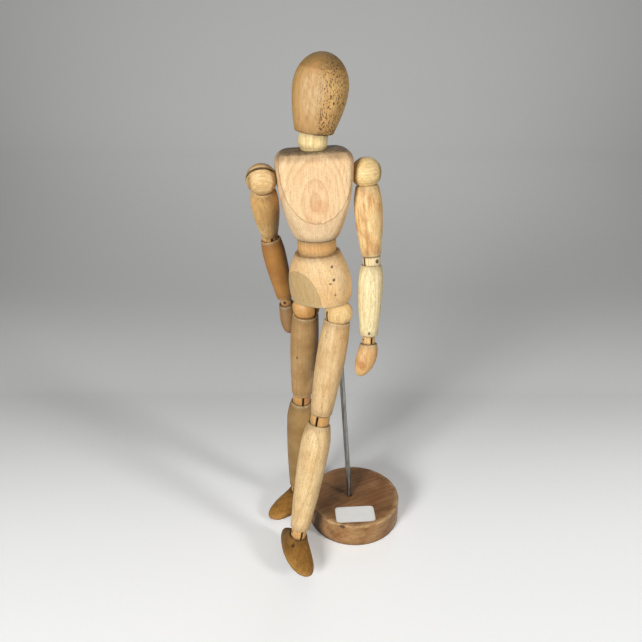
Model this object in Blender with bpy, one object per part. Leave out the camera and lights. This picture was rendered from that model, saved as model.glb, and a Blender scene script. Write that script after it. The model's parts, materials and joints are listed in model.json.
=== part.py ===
# Artist's wooden mannequin on a round base, posed as a walking figure.
# Metres, +Z up. The origin is the middle of the base's underside and the figure faces -Y.
# Left and right are the figure's own sides, so its left side lies at +X.

from math import asin, atan2, ceil, cos, hypot, pi, radians, sin, sqrt

import bmesh
import bpy
from mathutils import Matrix, Vector

MM = 0.001

# Fits
CLEARANCE = 0.3 * MM          # gap left between pieces that touch
RIM_WALL = 0.7 * MM           # wood left round the mouth of a cup
RIM_EDGE = 0.4 * MM           # eased edge on a turned end
PEG_LIP = 0.5 * MM            # straight band of a peg hidden below the rim
SLOT_ROOF = 0.8 * MM          # wood left above a peg's slot
PIN_INSET = 0.5 * MM          # pin ends lie this far under the surface
FLOOR_GAP = 0.5 * MM          # soles stop this far above the floor
CUT_PAST = 1 * MM             # holes are cut this far past the surface

# Stand
BASE_DIAMETER = 86 * MM
BASE_THICKNESS = 23 * MM
BASE_EDGE = 1.5 * MM
ROD_DIAMETER = 4.5 * MM
ROD_SET_IN = 39 * MM          # rod hole from the rim of the base nearest the feet
ROD_SEAT = 17 * MM            # depth of the rod in the base
ROD_INSERT = 24 * MM          # length of the rod inside the pelvis

# Pelvis
PELVIS_HEIGHT = 41 * MM
PELVIS_WIDTH = 52 * MM
PELVIS_DEPTH = 38 * MM
PELVIS_WALL = 1.4 * MM        # wood round the waist cup at the pelvis top
HIP_SPACING = 31 * MM
HIP_DROP = 9.5 * MM           # hip centres below the underside
PELVIS_SQUARE = 2.3           # power of the pelvis's outline where it is fullest
ROD_BORE_SIDE = 6 * MM        # rod bore to the left of the pelvis axis
ROD_BORE_BACK = 14 * MM       # rod bore behind the pelvis axis

# Chest
CHEST_HEIGHT = 66 * MM
CHEST_WIDTH = 58 * MM
CHEST_DEPTH = 32 * MM          # between the planed front and back
CHEST_TURNED_DEPTH = 42 * MM   # before planing
CHEST_FOOT_WALL = 1.2 * MM    # chest foot beyond the waist peg
SHOULDER_ROUND = 9 * MM       # rounding of the chest's upper edge
SHOULDER_HEIGHT = 46.5 * MM
SHOULDER_SEAT = 1.2 * MM      # depth of the ball in the chest's side
CHEST_SQUARE = 3              # power of the chest's outline above its foot
CHEST_SQUARE_AT = 0.5         # share of the straight height where that is reached
CHEST_WIDEST_AT = 0.88        # shares of the height where the chest is widest and deepest
CHEST_DEEPEST_AT = 0.6
CHEST_FLARE = 0.72            # below 1, the sides swell early

# Head
HEAD_HEIGHT = 54 * MM
HEAD_WIDTH = 39.5 * MM
HEAD_DEPTH = 43 * MM
HEAD_FOOT_DIAMETER = 28 * MM
FACE_FRONT = 14 * MM          # planed face in front of the neck axis
BROW_FRONT = 18 * MM          # fullest front of the egg before planing
HEAD_FULLEST_AT = 0.56        # share of the way up
HEAD_SQUARE = 2.15            # power of the head's outline

# Limbs, joint centre to joint centre, with the fullest diameter of each
UPPER_ARM_LENGTH = 67 * MM
UPPER_ARM_BELLY = 22.5 * MM
FOREARM_LENGTH = 64 * MM
FOREARM_BELLY = 20 * MM
THIGH_LENGTH = 93.5 * MM
THIGH_BELLY = 24.7 * MM
SHIN_LENGTH = 110 * MM
SHIN_BELLY = 26 * MM
HAND_LENGTH = 30 * MM
HAND_WIDTH = 17.5 * MM
HAND_THICKNESS = 14.5 * MM
HAND_LEAN = 7 * MM            # fingertips towards the thumb side
FOOT_LENGTH = 61 * MM
FOOT_WIDTH = 24.5 * MM
FOOT_HEIGHT = 16.9 * MM       # ankle centre above the sole
FOOT_HEEL = 22 * MM           # heel behind the ankle centre
FOOT_TAPER = 0.12             # share by which the toe is broader and the heel narrower
FOOT_ASIDE = {"left": -3 * MM, "right": 0}    # middle of the sole beside the ankle hole
UPPER_ARM_BELLY_AT = 0.3      # fullest places, as shares of the way down
FOREARM_BELLY_AT = 0.25
THIGH_BELLY_AT = 0.3
SHIN_BELLY_AT = 0.2
HAND_BELLY_AT = 0.45

# Steel fittings
PIN_DIAMETER = 2 * MM
TONGUE_THICKNESS = 1.4 * MM
SLOT_PLAY = 0.3 * MM
BALL_PIN_PAST = 4 * MM        # blind end of a ball's pin beyond the tongue
BALL_TONGUE_HALF = 3 * MM     # half width of a tongue in a ball
ANCHOR_DIAMETER = 2.4 * MM
ANCHOR_PAST = 3 * MM          # anchor pin beyond the spring bore
WIRE_DIAMETER = 1 * MM
COIL_DIAMETER = 6.4 * MM      # to the middle of the wire
COIL_PITCH = 4.6 * MM
HOOK_LEG = 3 * MM
HOOK_SPACING = 1.2 * MM       # each hook's offset along the chest's anchor pin
SPRING_BORE = 10 * MM
PELVIS_ANCHOR = 17 * MM       # anchor pin above the pelvis underside
CHEST_ANCHOR = 31 * MM        # anchor pin above the chest foot
HEAD_ANCHOR = 27 * MM         # anchor pin above the head's underside

# Facets
SIDES = 16
SMALL_SIDES = 12
BODY_SIDES = 20
BASE_SIDES = 40
ARC_STEP = radians(20)
COIL_POINTS = 6

# Pose of the photograph, in degrees
ROD_LEAN = -4.1
FIGURE_TURN = -31
WAIST_SIDE = 1.9
WAIST_BEND = -1
WAIST_TWIST = 39
NECK_SIDE = 9
NECK_BEND = 0
HEAD_TURN = -22
# Each limb joint: turn of the peg in the upper piece, then bend on the pin
POSE = {
    "shoulder": {"left": (7, -88), "right": (36, -94)},
    "elbow": {"left": (26, -7), "right": (-78, -30)},
    "wrist": {"left": (-100, 4), "right": (66, 3)},
    "hip": {"left": (-27, -15.6), "right": (79, 9.6)},
    "knee": {"left": (38, -2), "right": (-38, -2)},
    "ankle": {"left": (42, 5), "right": (-50, -2.5)},
}
SIDE_SIGN = {"left": 1, "right": -1}


# Sizes of one pinned joint, all measured from its centre
class Joint:
    def __init__(self, drop, spigot, spigot_length, reach, collar=None, rise=None, peg=None,
                 ball=None, slot_top=None):
        self.is_ball = ball is not None
        self.peg = peg
        self.collar = collar                    # end radius of the piece above
        self.rise = rise                        # end face of the piece above
        self.drop = drop                        # rim of the piece below
        self.spigot = spigot
        self.spigot_length = spigot_length
        self.ball = ball if self.is_ball else hypot(peg, drop + PEG_LIP)
        self.cup = self.ball + CLEARANCE
        self.slot_top = slot_top if self.is_ball else rise - CLEARANCE - SLOT_ROOF
        self.rim = sqrt(outside(self.cup, SIDES) ** 2 - drop ** 2) + RIM_WALL
        self.reach = self.ball + reach          # far end of the tongue

    # Ends of the pin along it: right through a peg, into a ball from behind
    def pin_span(self):
        if self.is_ball:
            return -(TONGUE_THICKNESS / 2 + BALL_PIN_PAST), self.ball - PIN_INSET
        return PIN_INSET - self.peg, self.peg - PIN_INSET

    def tongue_half(self):
        tall = self.slot_top - CLEARANCE
        return min(tall, BALL_TONGUE_HALF) if self.is_ball else tall

    def tongue_bore(self):
        return hypot(self.tongue_half(), TONGUE_THICKNESS / 2) + CLEARANCE


# A faceted round hole whose flats, both ways round, clear the given radius
def outside(radius, sides):
    return radius / cos(pi / sides) / cos(ARC_STEP / 2)


def hole(radius, sides=SMALL_SIDES):
    return radius / cos(pi / sides)


JOINTS = {
    "shoulder": Joint(9.3 * MM, 4 * MM, 10 * MM, 9 * MM, ball=11.7 * MM, slot_top=6 * MM),
    "elbow": Joint(3.8 * MM, 4 * MM, 10 * MM, 9 * MM, collar=7.8 * MM, rise=3.8 * MM, peg=7 * MM),
    "wrist": Joint(3.4 * MM, 3 * MM, 9 * MM, 7 * MM, collar=7.4 * MM, rise=3.4 * MM, peg=5.1 * MM),
    "hip": Joint(6.5 * MM, 4 * MM, 10 * MM, 9 * MM, ball=11.4 * MM, slot_top=4 * MM),
    "knee": Joint(4.8 * MM, 4.5 * MM, 12 * MM, 10 * MM, collar=9.4 * MM, rise=4.8 * MM, peg=8.1 * MM),
    "ankle": Joint(4 * MM, 3.6 * MM, 10 * MM, 6 * MM, collar=8.7 * MM, rise=4 * MM, peg=6.6 * MM),
}

# The two body pegs turn in the piece above them and rock in a cup in the piece below
WAIST_RADIUS = 15 * MM
WAIST_RISE = 6 * MM
WAIST_DROP = 5.5 * MM
WAIST_SPIGOT = 8 * MM
WAIST_SPIGOT_LENGTH = 11 * MM
WAIST_BALL = hypot(WAIST_RADIUS, WAIST_DROP + PEG_LIP)
NECK_RADIUS = 10.7 * MM
NECK_BALL = 11 * MM
NECK_RISE = 5.4 * MM
NECK_DROP = 6.4 * MM
NECK_SPIGOT = 7 * MM
NECK_SPIGOT_LENGTH = 10 * MM


def clear_scene():
    for old in list(bpy.data.objects):
        bpy.data.objects.remove(old, do_unlink=True)


def material(name, colour, roughness, metallic=0.0):
    made = bpy.data.materials.new(name)
    made.use_nodes = True
    shader = made.node_tree.nodes["Principled BSDF"]
    shader.inputs["Base Color"].default_value = (*colour, 1)
    shader.inputs["Roughness"].default_value = roughness
    shader.inputs["Metallic"].default_value = metallic
    made.diffuse_color = (*colour, 1)
    return made


def finish_mesh(name, bm):
    bmesh.ops.recalc_face_normals(bm, faces=bm.faces)
    mesh = bpy.data.meshes.new(name)
    bm.to_mesh(mesh)
    bm.free()
    mesh.shade_smooth()
    mesh.set_sharp_from_angle(angle=radians(40))
    return mesh


def place(name, data, look=None, parent=None, matrix=None):
    thing = bpy.data.objects.new(name, data)
    bpy.context.scene.collection.objects.link(thing)
    thing.parent = parent
    thing.matrix_local = matrix or Matrix()
    if look:
        data.materials.append(look)
    return thing


# A cutter is parented to the piece that it cuts
def cut(target, bm, matrix=None):
    name = f"{target.name}_cut_{len(target.modifiers) + 1}"
    cutter = place(name, finish_mesh(name, bm), None, target, matrix)
    cutter.hide_render = True
    cutter.display_type = "WIRE"
    boolean = target.modifiers.new(name, "BOOLEAN")
    boolean.operation = "DIFFERENCE"
    boolean.solver = "EXACT"
    boolean.object = cutter


def turn(axis, degrees):
    return Matrix.Rotation(radians(degrees), 4, axis)


def move(x=0, y=0, z=0):
    return Matrix.Translation((x, y, z))


# Turned solid from a profile of (radius, height) that starts and ends on the axis
def turned(profile, sides=SIDES):
    bm = bmesh.new()
    points = [bm.verts.new((radius, 0, height)) for radius, height in profile]
    edges = [bm.edges.new(pair) for pair in zip(points, points[1:])]
    bmesh.ops.spin(
        bm, geom=points + edges, cent=(0, 0, 0), axis=(0, 0, 1), angle=2 * pi, steps=sides,
        use_merge=True, use_duplicate=False)
    bmesh.ops.remove_doubles(bm, verts=bm.verts, dist=0.001 * MM)
    return bm


# Solid through rings of points, capped at both ends or closed on itself
def loft(rings, closed=False):
    bm = bmesh.new()
    loops = [[bm.verts.new(point) for point in ring] for ring in rings]
    count = len(loops[0])
    pairs = list(zip(loops, loops[1:]))
    if closed:
        pairs.append((loops[-1], loops[0]))
    for low, high in pairs:
        for i in range(count):
            j = (i + 1) % count
            bm.faces.new((low[i], low[j], high[j], high[i]))
    if not closed:
        bm.faces.new(loops[0])
        bm.faces.new(loops[-1])
    return bm


# Arc of a circle round the joint centre, as (radius, height), between two angles from level
def arc(radius, start, end):
    steps = max(1, ceil(abs(end - start) / ARC_STEP - 1e-6))
    angles = [start + (end - start) * i / steps for i in range(steps + 1)]
    return [(radius * cos(a), radius * sin(a)) for a in angles]


# Rounded box outline: power 2 is an ellipse, more is squarer; planed flat beyond the two Y limits
def outline(half_x, half_y, height, power=2.0, middle_y=0.0, sides=BODY_SIDES, front=None, back=None):
    ring = []
    front = middle_y - half_y if front is None else front
    back = middle_y + half_y if back is None else back
    for i in range(sides):
        angle = 2 * pi * i / sides
        x = abs(cos(angle)) ** (2 / power)
        y = abs(sin(angle)) ** (2 / power)
        across = half_x * (x if cos(angle) > 0 else -x)
        along = middle_y + half_y * (y if sin(angle) > 0 else -y)
        ring.append(Vector((across, min(max(along, front), back), height)))
    return ring


# Straight round bar along +Z from z = start to z = end
def bar(radius, start, end, sides=SMALL_SIDES):
    return turned([(0, start), (radius, start), (radius, end), (0, end)], sides)


# Fullness of a turned limb at t from its top: swells to the belly, then tapers to the end
def limb_radius(t, top, belly, end, belly_at):
    if t < belly_at:
        return top + (belly - top) * sin(pi / 2 * t / belly_at)
    return end + (belly - end) * cos(pi / 2 * (t - belly_at) / (1 - belly_at))


# Cavity for the ball and the tongue of a joint, as a profile from its mouth to its floor
def cup_profile(joint):
    cup = outside(joint.cup, SIDES)
    bore = hole(joint.tongue_bore(), SIDES)
    mouth = -asin(joint.drop / cup)
    floor = -(joint.reach + CLEARANCE)
    return arc(cup, mouth, -pi / 2 + asin(bore / cup)) + [(bore, floor), (0, floor)]


def cup_cutter(joint):
    cup = outside(joint.cup, SIDES)
    return turned([(0, cup)] + arc(cup, pi / 3, -asin(joint.drop / cup)) + cup_profile(joint)[1:])


# Turned limb from its upper joint centre at z = 0 to its lower one at z = -length
def limb(name, length, belly_diameter, belly_at, upper, lower, look, parent, matrix):
    top = upper.rim
    end = lower.collar
    high = -upper.drop
    low = -(length - lower.rise)
    bore = hole(lower.spigot + CLEARANCE, SIDES)
    bore_top = low + lower.spigot_length + CLEARANCE
    steps = 6
    body = []
    for i in range(steps + 1):
        t = i / steps
        height = high - RIM_EDGE + (low - high + 2 * RIM_EDGE) * t
        body.append((limb_radius(t, top, belly_diameter / 2, end, belly_at), height))
    profile = [(0, bore_top), (bore, bore_top), (bore, low), (end - RIM_EDGE, low)]
    profile += reversed(body)
    profile += [(top - RIM_EDGE, high)] + cup_profile(upper)
    return place(name, finish_mesh(name, turned(profile)), look, parent, matrix)


# Wooden peg or ball: spigot up into the piece above, slot across for the tongue, hole for the pin
def peg(name, side, joint, look, parent, matrix):
    if joint.is_ball:
        neck = asin(joint.spigot / joint.ball)
        shape = arc(joint.ball, -pi / 2, pi / 2 - neck)
        top = joint.ball * cos(neck) + joint.spigot_length
    else:
        shoulder = joint.rise - CLEARANCE
        shape = arc(joint.ball, -pi / 2, -atan2(joint.drop + PEG_LIP, joint.peg))
        shape += [(joint.peg, shoulder), (joint.spigot, shoulder)]
        top = shoulder + joint.spigot_length
    shape[0] = (0, -joint.ball)
    shape += [(joint.spigot, top), (0, top)]
    made = place(name, finish_mesh(name, turned(shape)), look, parent, matrix)
    slot_half = TONGUE_THICKNESS / 2 + SLOT_PLAY
    beyond = joint.ball + CUT_PAST
    square = [(-slot_half, -beyond), (slot_half, -beyond), (slot_half, beyond), (-slot_half, beyond)]
    cut(made, loft([[(x, y, z) for x, y in square] for z in (-beyond, joint.slot_top)]))
    start = joint.pin_span()[0] - CLEARANCE if joint.is_ball else -beyond
    cut(made, bar(hole(PIN_DIAMETER / 2 + CLEARANCE / 2), start, beyond), pin_frame(side))
    return made


# Pin axis of a joint, along the peg's X and mirrored from side to side
def pin_frame(side):
    return turn("Y", -90 * SIDE_SIGN[side])


def cross_pin(name, side, joint, look, parent):
    shape = bar(PIN_DIAMETER / 2, *joint.pin_span())
    place(name, finish_mesh(name, shape), look, parent, pin_frame(side))


# Flat steel strip with a round eye, running down into the bore of the piece below
def tongue(name, joint, look, parent):
    half = joint.tongue_half()
    eye = hole(PIN_DIAMETER / 2 + CLEARANCE)
    angles = [2 * pi * i / SMALL_SIDES for i in range(SMALL_SIDES)]
    upper_count = SMALL_SIDES // 2 + 1
    lower_count = SMALL_SIDES - upper_count
    edge = [(half * cos(a), half * sin(a)) for a in angles[:upper_count]]
    for i in range(lower_count):
        edge.append((half * (2 * i / (lower_count - 1) - 1), -joint.reach))
    ring = [(eye * cos(a), eye * sin(a)) for a in angles]
    near = -TONGUE_THICKNESS / 2
    far = TONGUE_THICKNESS / 2
    loops = ((near, edge), (far, edge), (far, ring), (near, ring))
    rings = [[(x, y, z) for y, z in loop] for x, loop in loops]
    place(name, finish_mesh(name, loft(rings, closed=True)), look, parent)


# Local matrices of a limb joint: the peg's turn, then the bend of the piece below
def joint_pose(kind, side):
    swivel, bend = POSE[kind][side]
    return turn("Z", swivel), turn("X", bend)


# One whole joint on a parent piece; returns the bent frame's peg and matrix for the piece below
def fit_joint(kind, side, parent, seat):
    swivel, bend = joint_pose(kind, side)
    noun = "ball" if JOINTS[kind].is_ball else "peg"
    held = peg(f"{kind}_{noun}_{side}", side, JOINTS[kind], PEG_WOOD, parent, seat @ swivel)
    cross_pin(f"{kind}_pin_{side}", side, JOINTS[kind], PIN_STEEL, held)
    return held, bend


# Hand: a flattened egg below the wrist cup, as wide as the pin is long, leaning to the thumb side
def hand(name, side, joint, look, parent, matrix):
    high = -joint.drop - RIM_EDGE
    fullest = HAND_BELLY_AT
    rings = [outline(joint.rim - RIM_EDGE, joint.rim - RIM_EDGE, -joint.drop, sides=SIDES)]
    for t in (0, 0.15, 0.3, fullest, 0.62, 0.78, 0.9, 0.98, 1):
        if t < fullest:
            swell = sin(pi / 2 * t / fullest)
            half_x = joint.rim + (HAND_WIDTH / 2 - joint.rim) * swell
            half_y = joint.rim + (HAND_THICKNESS / 2 - joint.rim) * swell
        else:
            swell = sqrt(1 - 0.98 * ((t - fullest) / (1 - fullest)) ** 2)
            half_x = HAND_WIDTH / 2 * swell
            half_y = HAND_THICKNESS / 2 * swell
        ring = outline(half_x, half_y, high - (HAND_LENGTH + high) * t, sides=SIDES)
        lean = Vector((SIDE_SIGN[side] * HAND_LEAN * t ** 1.5, 0, 0))
        rings.append([point + lean for point in ring])
    made = place(name, finish_mesh(name, loft(rings)), look, parent, matrix)
    cut(made, cup_cutter(joint))
    return made


# Sole outline of the foot at a height: an egg from heel to toe, drawn in towards the ankle
def foot_ring(side, height, shrink, joint):
    half_length = FOOT_LENGTH / 2
    middle = FOOT_HEEL - half_length
    collar = outline(joint.rim, joint.rim, height)
    ring = []
    for i in range(BODY_SIDES):
        angle = 2 * pi * i / BODY_SIDES
        broad = FOOT_WIDTH / 2 * (1 - FOOT_TAPER * sin(angle))
        across = FOOT_ASIDE[side] + broad * cos(angle)
        sole = Vector((across, middle + half_length * sin(angle), height))
        ring.append(sole.lerp(collar[i], shrink))
    return ring


def foot(name, side, joint, look, parent, matrix):
    sole = -FOOT_HEIGHT
    top = -joint.drop
    tall = top - sole
    shrinks = ((0, 0.08), (0.1, 0), (0.32, 0.1), (0.55, 0.42), (0.78, 0.8), (0.95, 1))
    rings = [foot_ring(side, sole + tall * t, shrink, joint) for t, shrink in shrinks]
    rings.append(outline(joint.rim - RIM_EDGE, joint.rim - RIM_EDGE, top))
    made = place(name, finish_mesh(name, loft(rings)), look, parent, matrix)
    cut(made, cup_cutter(joint))
    return made


# Matrix of a foot within the pelvis, used to stand the figure on its soles
def foot_matrix(side):
    chain = hip_seat(side)
    for kind, length in (("hip", THIGH_LENGTH), ("knee", SHIN_LENGTH), ("ankle", 0)):
        swivel, bend = joint_pose(kind, side)
        chain = chain @ swivel @ bend @ move(z=-length)
    return chain


def hip_seat(side):
    return PELVIS_AXIS @ move(x=SIDE_SIGN[side] * HIP_SPACING / 2, z=-HIP_DROP)


# Shoulder frame: Z points into the chest, Y up, so that a bend of -90 degrees hangs the arm
def shoulder_seat(side):
    sign = SIDE_SIGN[side]
    reach = chest_half_width(SHOULDER_HEIGHT) + JOINTS["shoulder"].ball - SHOULDER_SEAT
    frame = Matrix(((0, 0, -sign), (-sign, 0, 0), (0, 1, 0))).to_4x4()
    return move(x=sign * reach, z=SHOULDER_HEIGHT) @ frame


def chest_half_width(height):
    foot_half = WAIST_RADIUS + CHEST_FOOT_WALL
    swell = sin(pi / 2 * min(height / CHEST_HEIGHT / CHEST_WIDEST_AT, 1)) ** CHEST_FLARE
    return foot_half + (CHEST_WIDTH / 2 - foot_half) * swell


def chest_half_depth(height):
    foot_half = WAIST_RADIUS + CHEST_FOOT_WALL
    swell = sin(pi / 2 * min(height / CHEST_HEIGHT / CHEST_DEEPEST_AT, 1))
    return foot_half + (CHEST_TURNED_DEPTH / 2 - foot_half) * swell


# Outline of the chest at a height, drawn in towards the top and planed flat in front and behind
def chest_ring(height, inset, power):
    planed = CHEST_DEPTH / 2 - inset / 2
    return outline(chest_half_width(height) - inset, chest_half_depth(height) - inset / 2, height,
                   power, front=-planed, back=planed)


# Height of the rod's end of the pelvis, so that the lower sole stops just above the floor
def stand_height():
    lean = turn("Y", ROD_LEAN) @ turn("Z", FIGURE_TURN)
    lowest = min(
        (lean @ foot_matrix(side) @ point).z
        for side in SIDE_SIGN
        for point in foot_ring(side, -FOOT_HEIGHT, 0, JOINTS["ankle"]))
    return (FLOOR_GAP - BASE_THICKNESS - lowest) / cos(radians(ROD_LEAN))


# Socket for a ball set into a body piece, with the bore for its spigot above it
def ball_socket(joint):
    cup = outside(joint.cup, SIDES)
    bore = hole(joint.spigot + CLEARANCE, SIDES)
    top = joint.ball * cos(asin(joint.spigot / joint.ball)) + joint.spigot_length + CLEARANCE
    wall = arc(cup, -pi / 3, pi / 2 - asin(bore / cup))
    return turned([(0, -cup)] + wall + [(bore, top), (0, top)])


# Anchor pin along Y and its hole: in through the back of the piece to past the spring bore
def fit_anchor(name, back, piece, at):
    along = at @ turn("X", -90)
    start = -(SPRING_BORE / 2 + ANCHOR_PAST)
    cut(piece, bar(hole(ANCHOR_DIAMETER / 2 + CLEARANCE), start - CLEARANCE, back + CUT_PAST), along)
    shape = bar(ANCHOR_DIAMETER / 2, start, back - PIN_INSET)
    place(name, finish_mesh(name, shape), PIN_STEEL, piece, along)


# Body peg: ball end down in its cup, spigot up, and a bore through it for the spring
def body_peg(name, radius, ball, rise, spigot, spigot_length, look, parent, matrix):
    shoulder = rise - CLEARANCE
    bore = SPRING_BORE / 2
    shape = [(bore, shoulder + spigot_length), (bore, -sqrt(ball ** 2 - bore ** 2))]
    shape += arc(ball, -pi / 2 + asin(bore / ball), -atan2(sqrt(ball ** 2 - radius ** 2), radius))[1:]
    shape += [(radius, shoulder), (spigot, shoulder), (spigot, shoulder + spigot_length)]
    rings = [outline(r, r, height) for r, height in shape]
    return place(name, finish_mesh(name, loft(rings, closed=True)), look, parent, matrix)


# Mouth and bore of a body cup whose ball centre is at z = 0, down to a floor
def body_cup(ball, floor):
    cup = outside(ball + CLEARANCE, BODY_SIDES)
    bore = SPRING_BORE / 2
    profile = [(0, cup)] + arc(cup, pi / 3, -pi / 2 + asin(bore / cup)) + [(bore, floor), (0, floor)]
    return turned(profile, BODY_SIDES)


# Tension spring from one anchor pin to another, with an open hook round each
# Its middle line runs straight to the joint centre and bends there
def spring(name, parent, matrix, low_pin, high_pin):
    hook = ANCHOR_DIAMETER / 2 + CLEARANCE + WIRE_DIAMETER / 2
    low = low_pin.translation
    high = high_pin.translation
    pivot = matrix.translation
    lower = (pivot - low).normalized()
    upper = (high - pivot).normalized()
    lower_length = (pivot - low).length
    span = lower_length + (high - pivot).length
    tilt = lower.rotation_difference(upper).to_matrix()

    # Hook seen along the pin: half a turn round it, then a leg towards the coil
    def hook_points(pin, out):
        side = pin.to_3x3() @ Vector((1, 0, 0))
        side = (side - out * side.dot(out)).normalized()
        bend = [pi * (1 - i / 6) for i in range(7)]
        round_pin = [pin.translation + side * hook * cos(a) - out * hook * sin(a) for a in bend]
        return side, round_pin + [pin.translation + side * hook + out * HOOK_LEG]

    start_side, start = hook_points(low_pin, lower)
    end_side, end = hook_points(high_pin, -upper)
    across = lower.cross(start_side)
    phase = atan2(end_side.dot(tilt @ across), end_side.dot(tilt @ start_side))
    rise = span - 2 * (HOOK_LEG + COIL_PITCH / 2)
    turns = round(rise / COIL_PITCH) + phase / (2 * pi)
    count = ceil(turns * COIL_POINTS)
    points = start
    for i in range(count + 1):
        angle = 2 * pi * turns * i / count
        height = HOOK_LEG + COIL_PITCH / 2 + rise * i / count
        around = start_side * cos(angle) + across * sin(angle)
        middle = low + lower * height
        if height > lower_length:
            around = tilt @ around
            middle = pivot + upper * (height - lower_length)
        points.append(middle + around * COIL_DIAMETER / 2)
    points += reversed(end)

    curve = bpy.data.curves.new(name, "CURVE")
    curve.dimensions = "3D"
    curve.bevel_depth = WIRE_DIAMETER / 2
    curve.bevel_resolution = 0
    curve.use_fill_caps = True
    line = curve.splines.new("POLY")
    line.points.add(len(points) - 1)
    back = matrix.inverted()
    for slot, point in zip(line.points, points):
        slot.co = (*(back @ point), 1)
    return place(name, curve, SPRING_STEEL, parent, matrix)


def build_base():
    half = BASE_DIAMETER / 2
    profile = [(0, 0), (half - BASE_EDGE, 0), (half, BASE_EDGE), (half, BASE_THICKNESS - BASE_EDGE),
               (half - BASE_EDGE, BASE_THICKNESS), (0, BASE_THICKNESS)]
    made = place("base", finish_mesh("base", turned(profile, BASE_SIDES)), BASE_WOOD)
    cut(made, bar(hole(ROD_DIAMETER / 2 + CLEARANCE), -ROD_SEAT - CLEARANCE, BASE_THICKNESS), ROD_FOOT)
    return made


def build_rod(base):
    shape = bar(ROD_DIAMETER / 2, -ROD_SEAT, STAND_HEIGHT + ROD_INSERT)
    return place("rod", finish_mesh("rod", shape), ROD_STEEL, base, ROD_FOOT)


def build_pelvis(rod):
    mouth = sqrt(outside(WAIST_BALL + CLEARANCE, BODY_SIDES) ** 2 - WAIST_DROP ** 2) + PELVIS_WALL
    wide = PELVIS_WIDTH / 2
    deep = PELVIS_DEPTH / 2
    # (height, share of the way from the waist cup's rim to the full size)
    swells = ((0, 0.72), (0.03, 0.78), (0.14, 0.94), (0.28, 1), (0.45, 0.98), (0.65, 0.78),
              (0.86, 0.33), (1, 0))
    rings = []
    for t, swell in swells:
        half_x = mouth + (wide - mouth) * swell
        half_y = mouth + (deep - mouth) * swell
        rings.append(outline(half_x, half_y, PELVIS_HEIGHT * t, 2 + (PELVIS_SQUARE - 2) * swell))
    bm = loft(rings)
    bm.transform(PELVIS_AXIS)
    made = place("pelvis", finish_mesh("pelvis", bm), TORSO_WOOD, rod,
                 move(z=STAND_HEIGHT) @ turn("Z", FIGURE_TURN))
    floor = PELVIS_ANCHOR - ANCHOR_DIAMETER - HOOK_LEG - PELVIS_HEIGHT - WAIST_DROP
    cut(made, body_cup(WAIST_BALL, floor), WAIST_CENTRE)
    for side in SIDE_SIGN:
        cut(made, ball_socket(JOINTS["hip"]), hip_seat(side))
    cut(made, bar(hole(ROD_DIAMETER / 2 + CLEARANCE), -CUT_PAST, ROD_INSERT + CLEARANCE))
    fit_anchor("pelvis_anchor_pin", deep, made, PELVIS_AXIS @ move(z=PELVIS_ANCHOR))
    return made


def build_chest(waist_peg):
    rings = []
    straight = CHEST_HEIGHT - SHOULDER_ROUND
    for t in (0, 0.07, 0.2, 0.4, 0.7, 1):
        height = straight * t
        power = 2 + (CHEST_SQUARE - 2) * min(t / CHEST_SQUARE_AT, 1)
        rings.append(chest_ring(height, 0, power))
    for degrees in (30, 55, 78):
        height = straight + SHOULDER_ROUND * sin(radians(degrees))
        inset = SHOULDER_ROUND * (1 - cos(radians(degrees)))
        rings.append(chest_ring(height, inset, CHEST_SQUARE))
    made = place("chest", finish_mesh("chest", loft(rings)), TORSO_WOOD, waist_peg,
                 move(z=WAIST_RISE) @ turn("Z", WAIST_TWIST))
    spigot = hole(WAIST_SPIGOT + CLEARANCE, BODY_SIDES)
    spigot_top = WAIST_SPIGOT_LENGTH
    bore = SPRING_BORE / 2
    cut(made, turned([(0, -CUT_PAST), (spigot, -CUT_PAST), (spigot, spigot_top), (bore, spigot_top),
                      (bore, CHEST_HEIGHT), (0, CHEST_HEIGHT)], BODY_SIDES))
    cut(made, body_cup(NECK_BALL, -CHEST_HEIGHT / 3), NECK_CENTRE)
    for side in SIDE_SIGN:
        cut(made, ball_socket(JOINTS["shoulder"]), shoulder_seat(side))
    fit_anchor("chest_anchor_pin", CHEST_DEPTH / 2, made, move(z=CHEST_ANCHOR))
    return made


# Head: an egg with its face planed flat in front, skull swelling out behind, cut flat below
def build_head(neck_peg):
    foot_half = HEAD_FOOT_DIAMETER / 2
    fullest = HEAD_FULLEST_AT
    back_full = HEAD_DEPTH - FACE_FRONT
    rings = []
    for t in (0, 0.05, 0.2, 0.38, fullest, 0.72, 0.85, 0.94, 0.99):
        if t < fullest:
            swell = sin(pi / 2 * t / fullest)
            half_x = foot_half + (HEAD_WIDTH / 2 - foot_half) * swell
            back = foot_half + (back_full - foot_half) * swell
            brow = foot_half + (BROW_FRONT - foot_half) * swell
            half_y = (brow + back) / 2
            middle = (back - brow) / 2
        else:
            swell = sqrt(1 - ((t - fullest) / (1 - fullest)) ** 2)
            half_x = HEAD_WIDTH / 2 * swell
            half_y = (BROW_FRONT + back_full) / 2 * swell
            middle = (back_full - BROW_FRONT) / 2
        rings.append(outline(half_x, half_y, HEAD_HEIGHT * t, HEAD_SQUARE, middle, front=-FACE_FRONT))
    made = place("head", finish_mesh("head", loft(rings)), HEAD_WOOD, neck_peg,
                 move(z=NECK_RISE) @ turn("Z", HEAD_TURN))
    spigot = hole(NECK_SPIGOT + CLEARANCE, BODY_SIDES)
    spigot_top = NECK_SPIGOT_LENGTH
    bore = SPRING_BORE / 2
    bore_top = HEAD_ANCHOR + ANCHOR_DIAMETER + HOOK_LEG
    cut(made, turned([(0, -CUT_PAST), (spigot, -CUT_PAST), (spigot, spigot_top), (bore, spigot_top),
                      (bore, bore_top), (0, bore_top)], BODY_SIDES))
    fit_anchor("head_anchor_pin", back_full, made, move(z=HEAD_ANCHOR))


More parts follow.
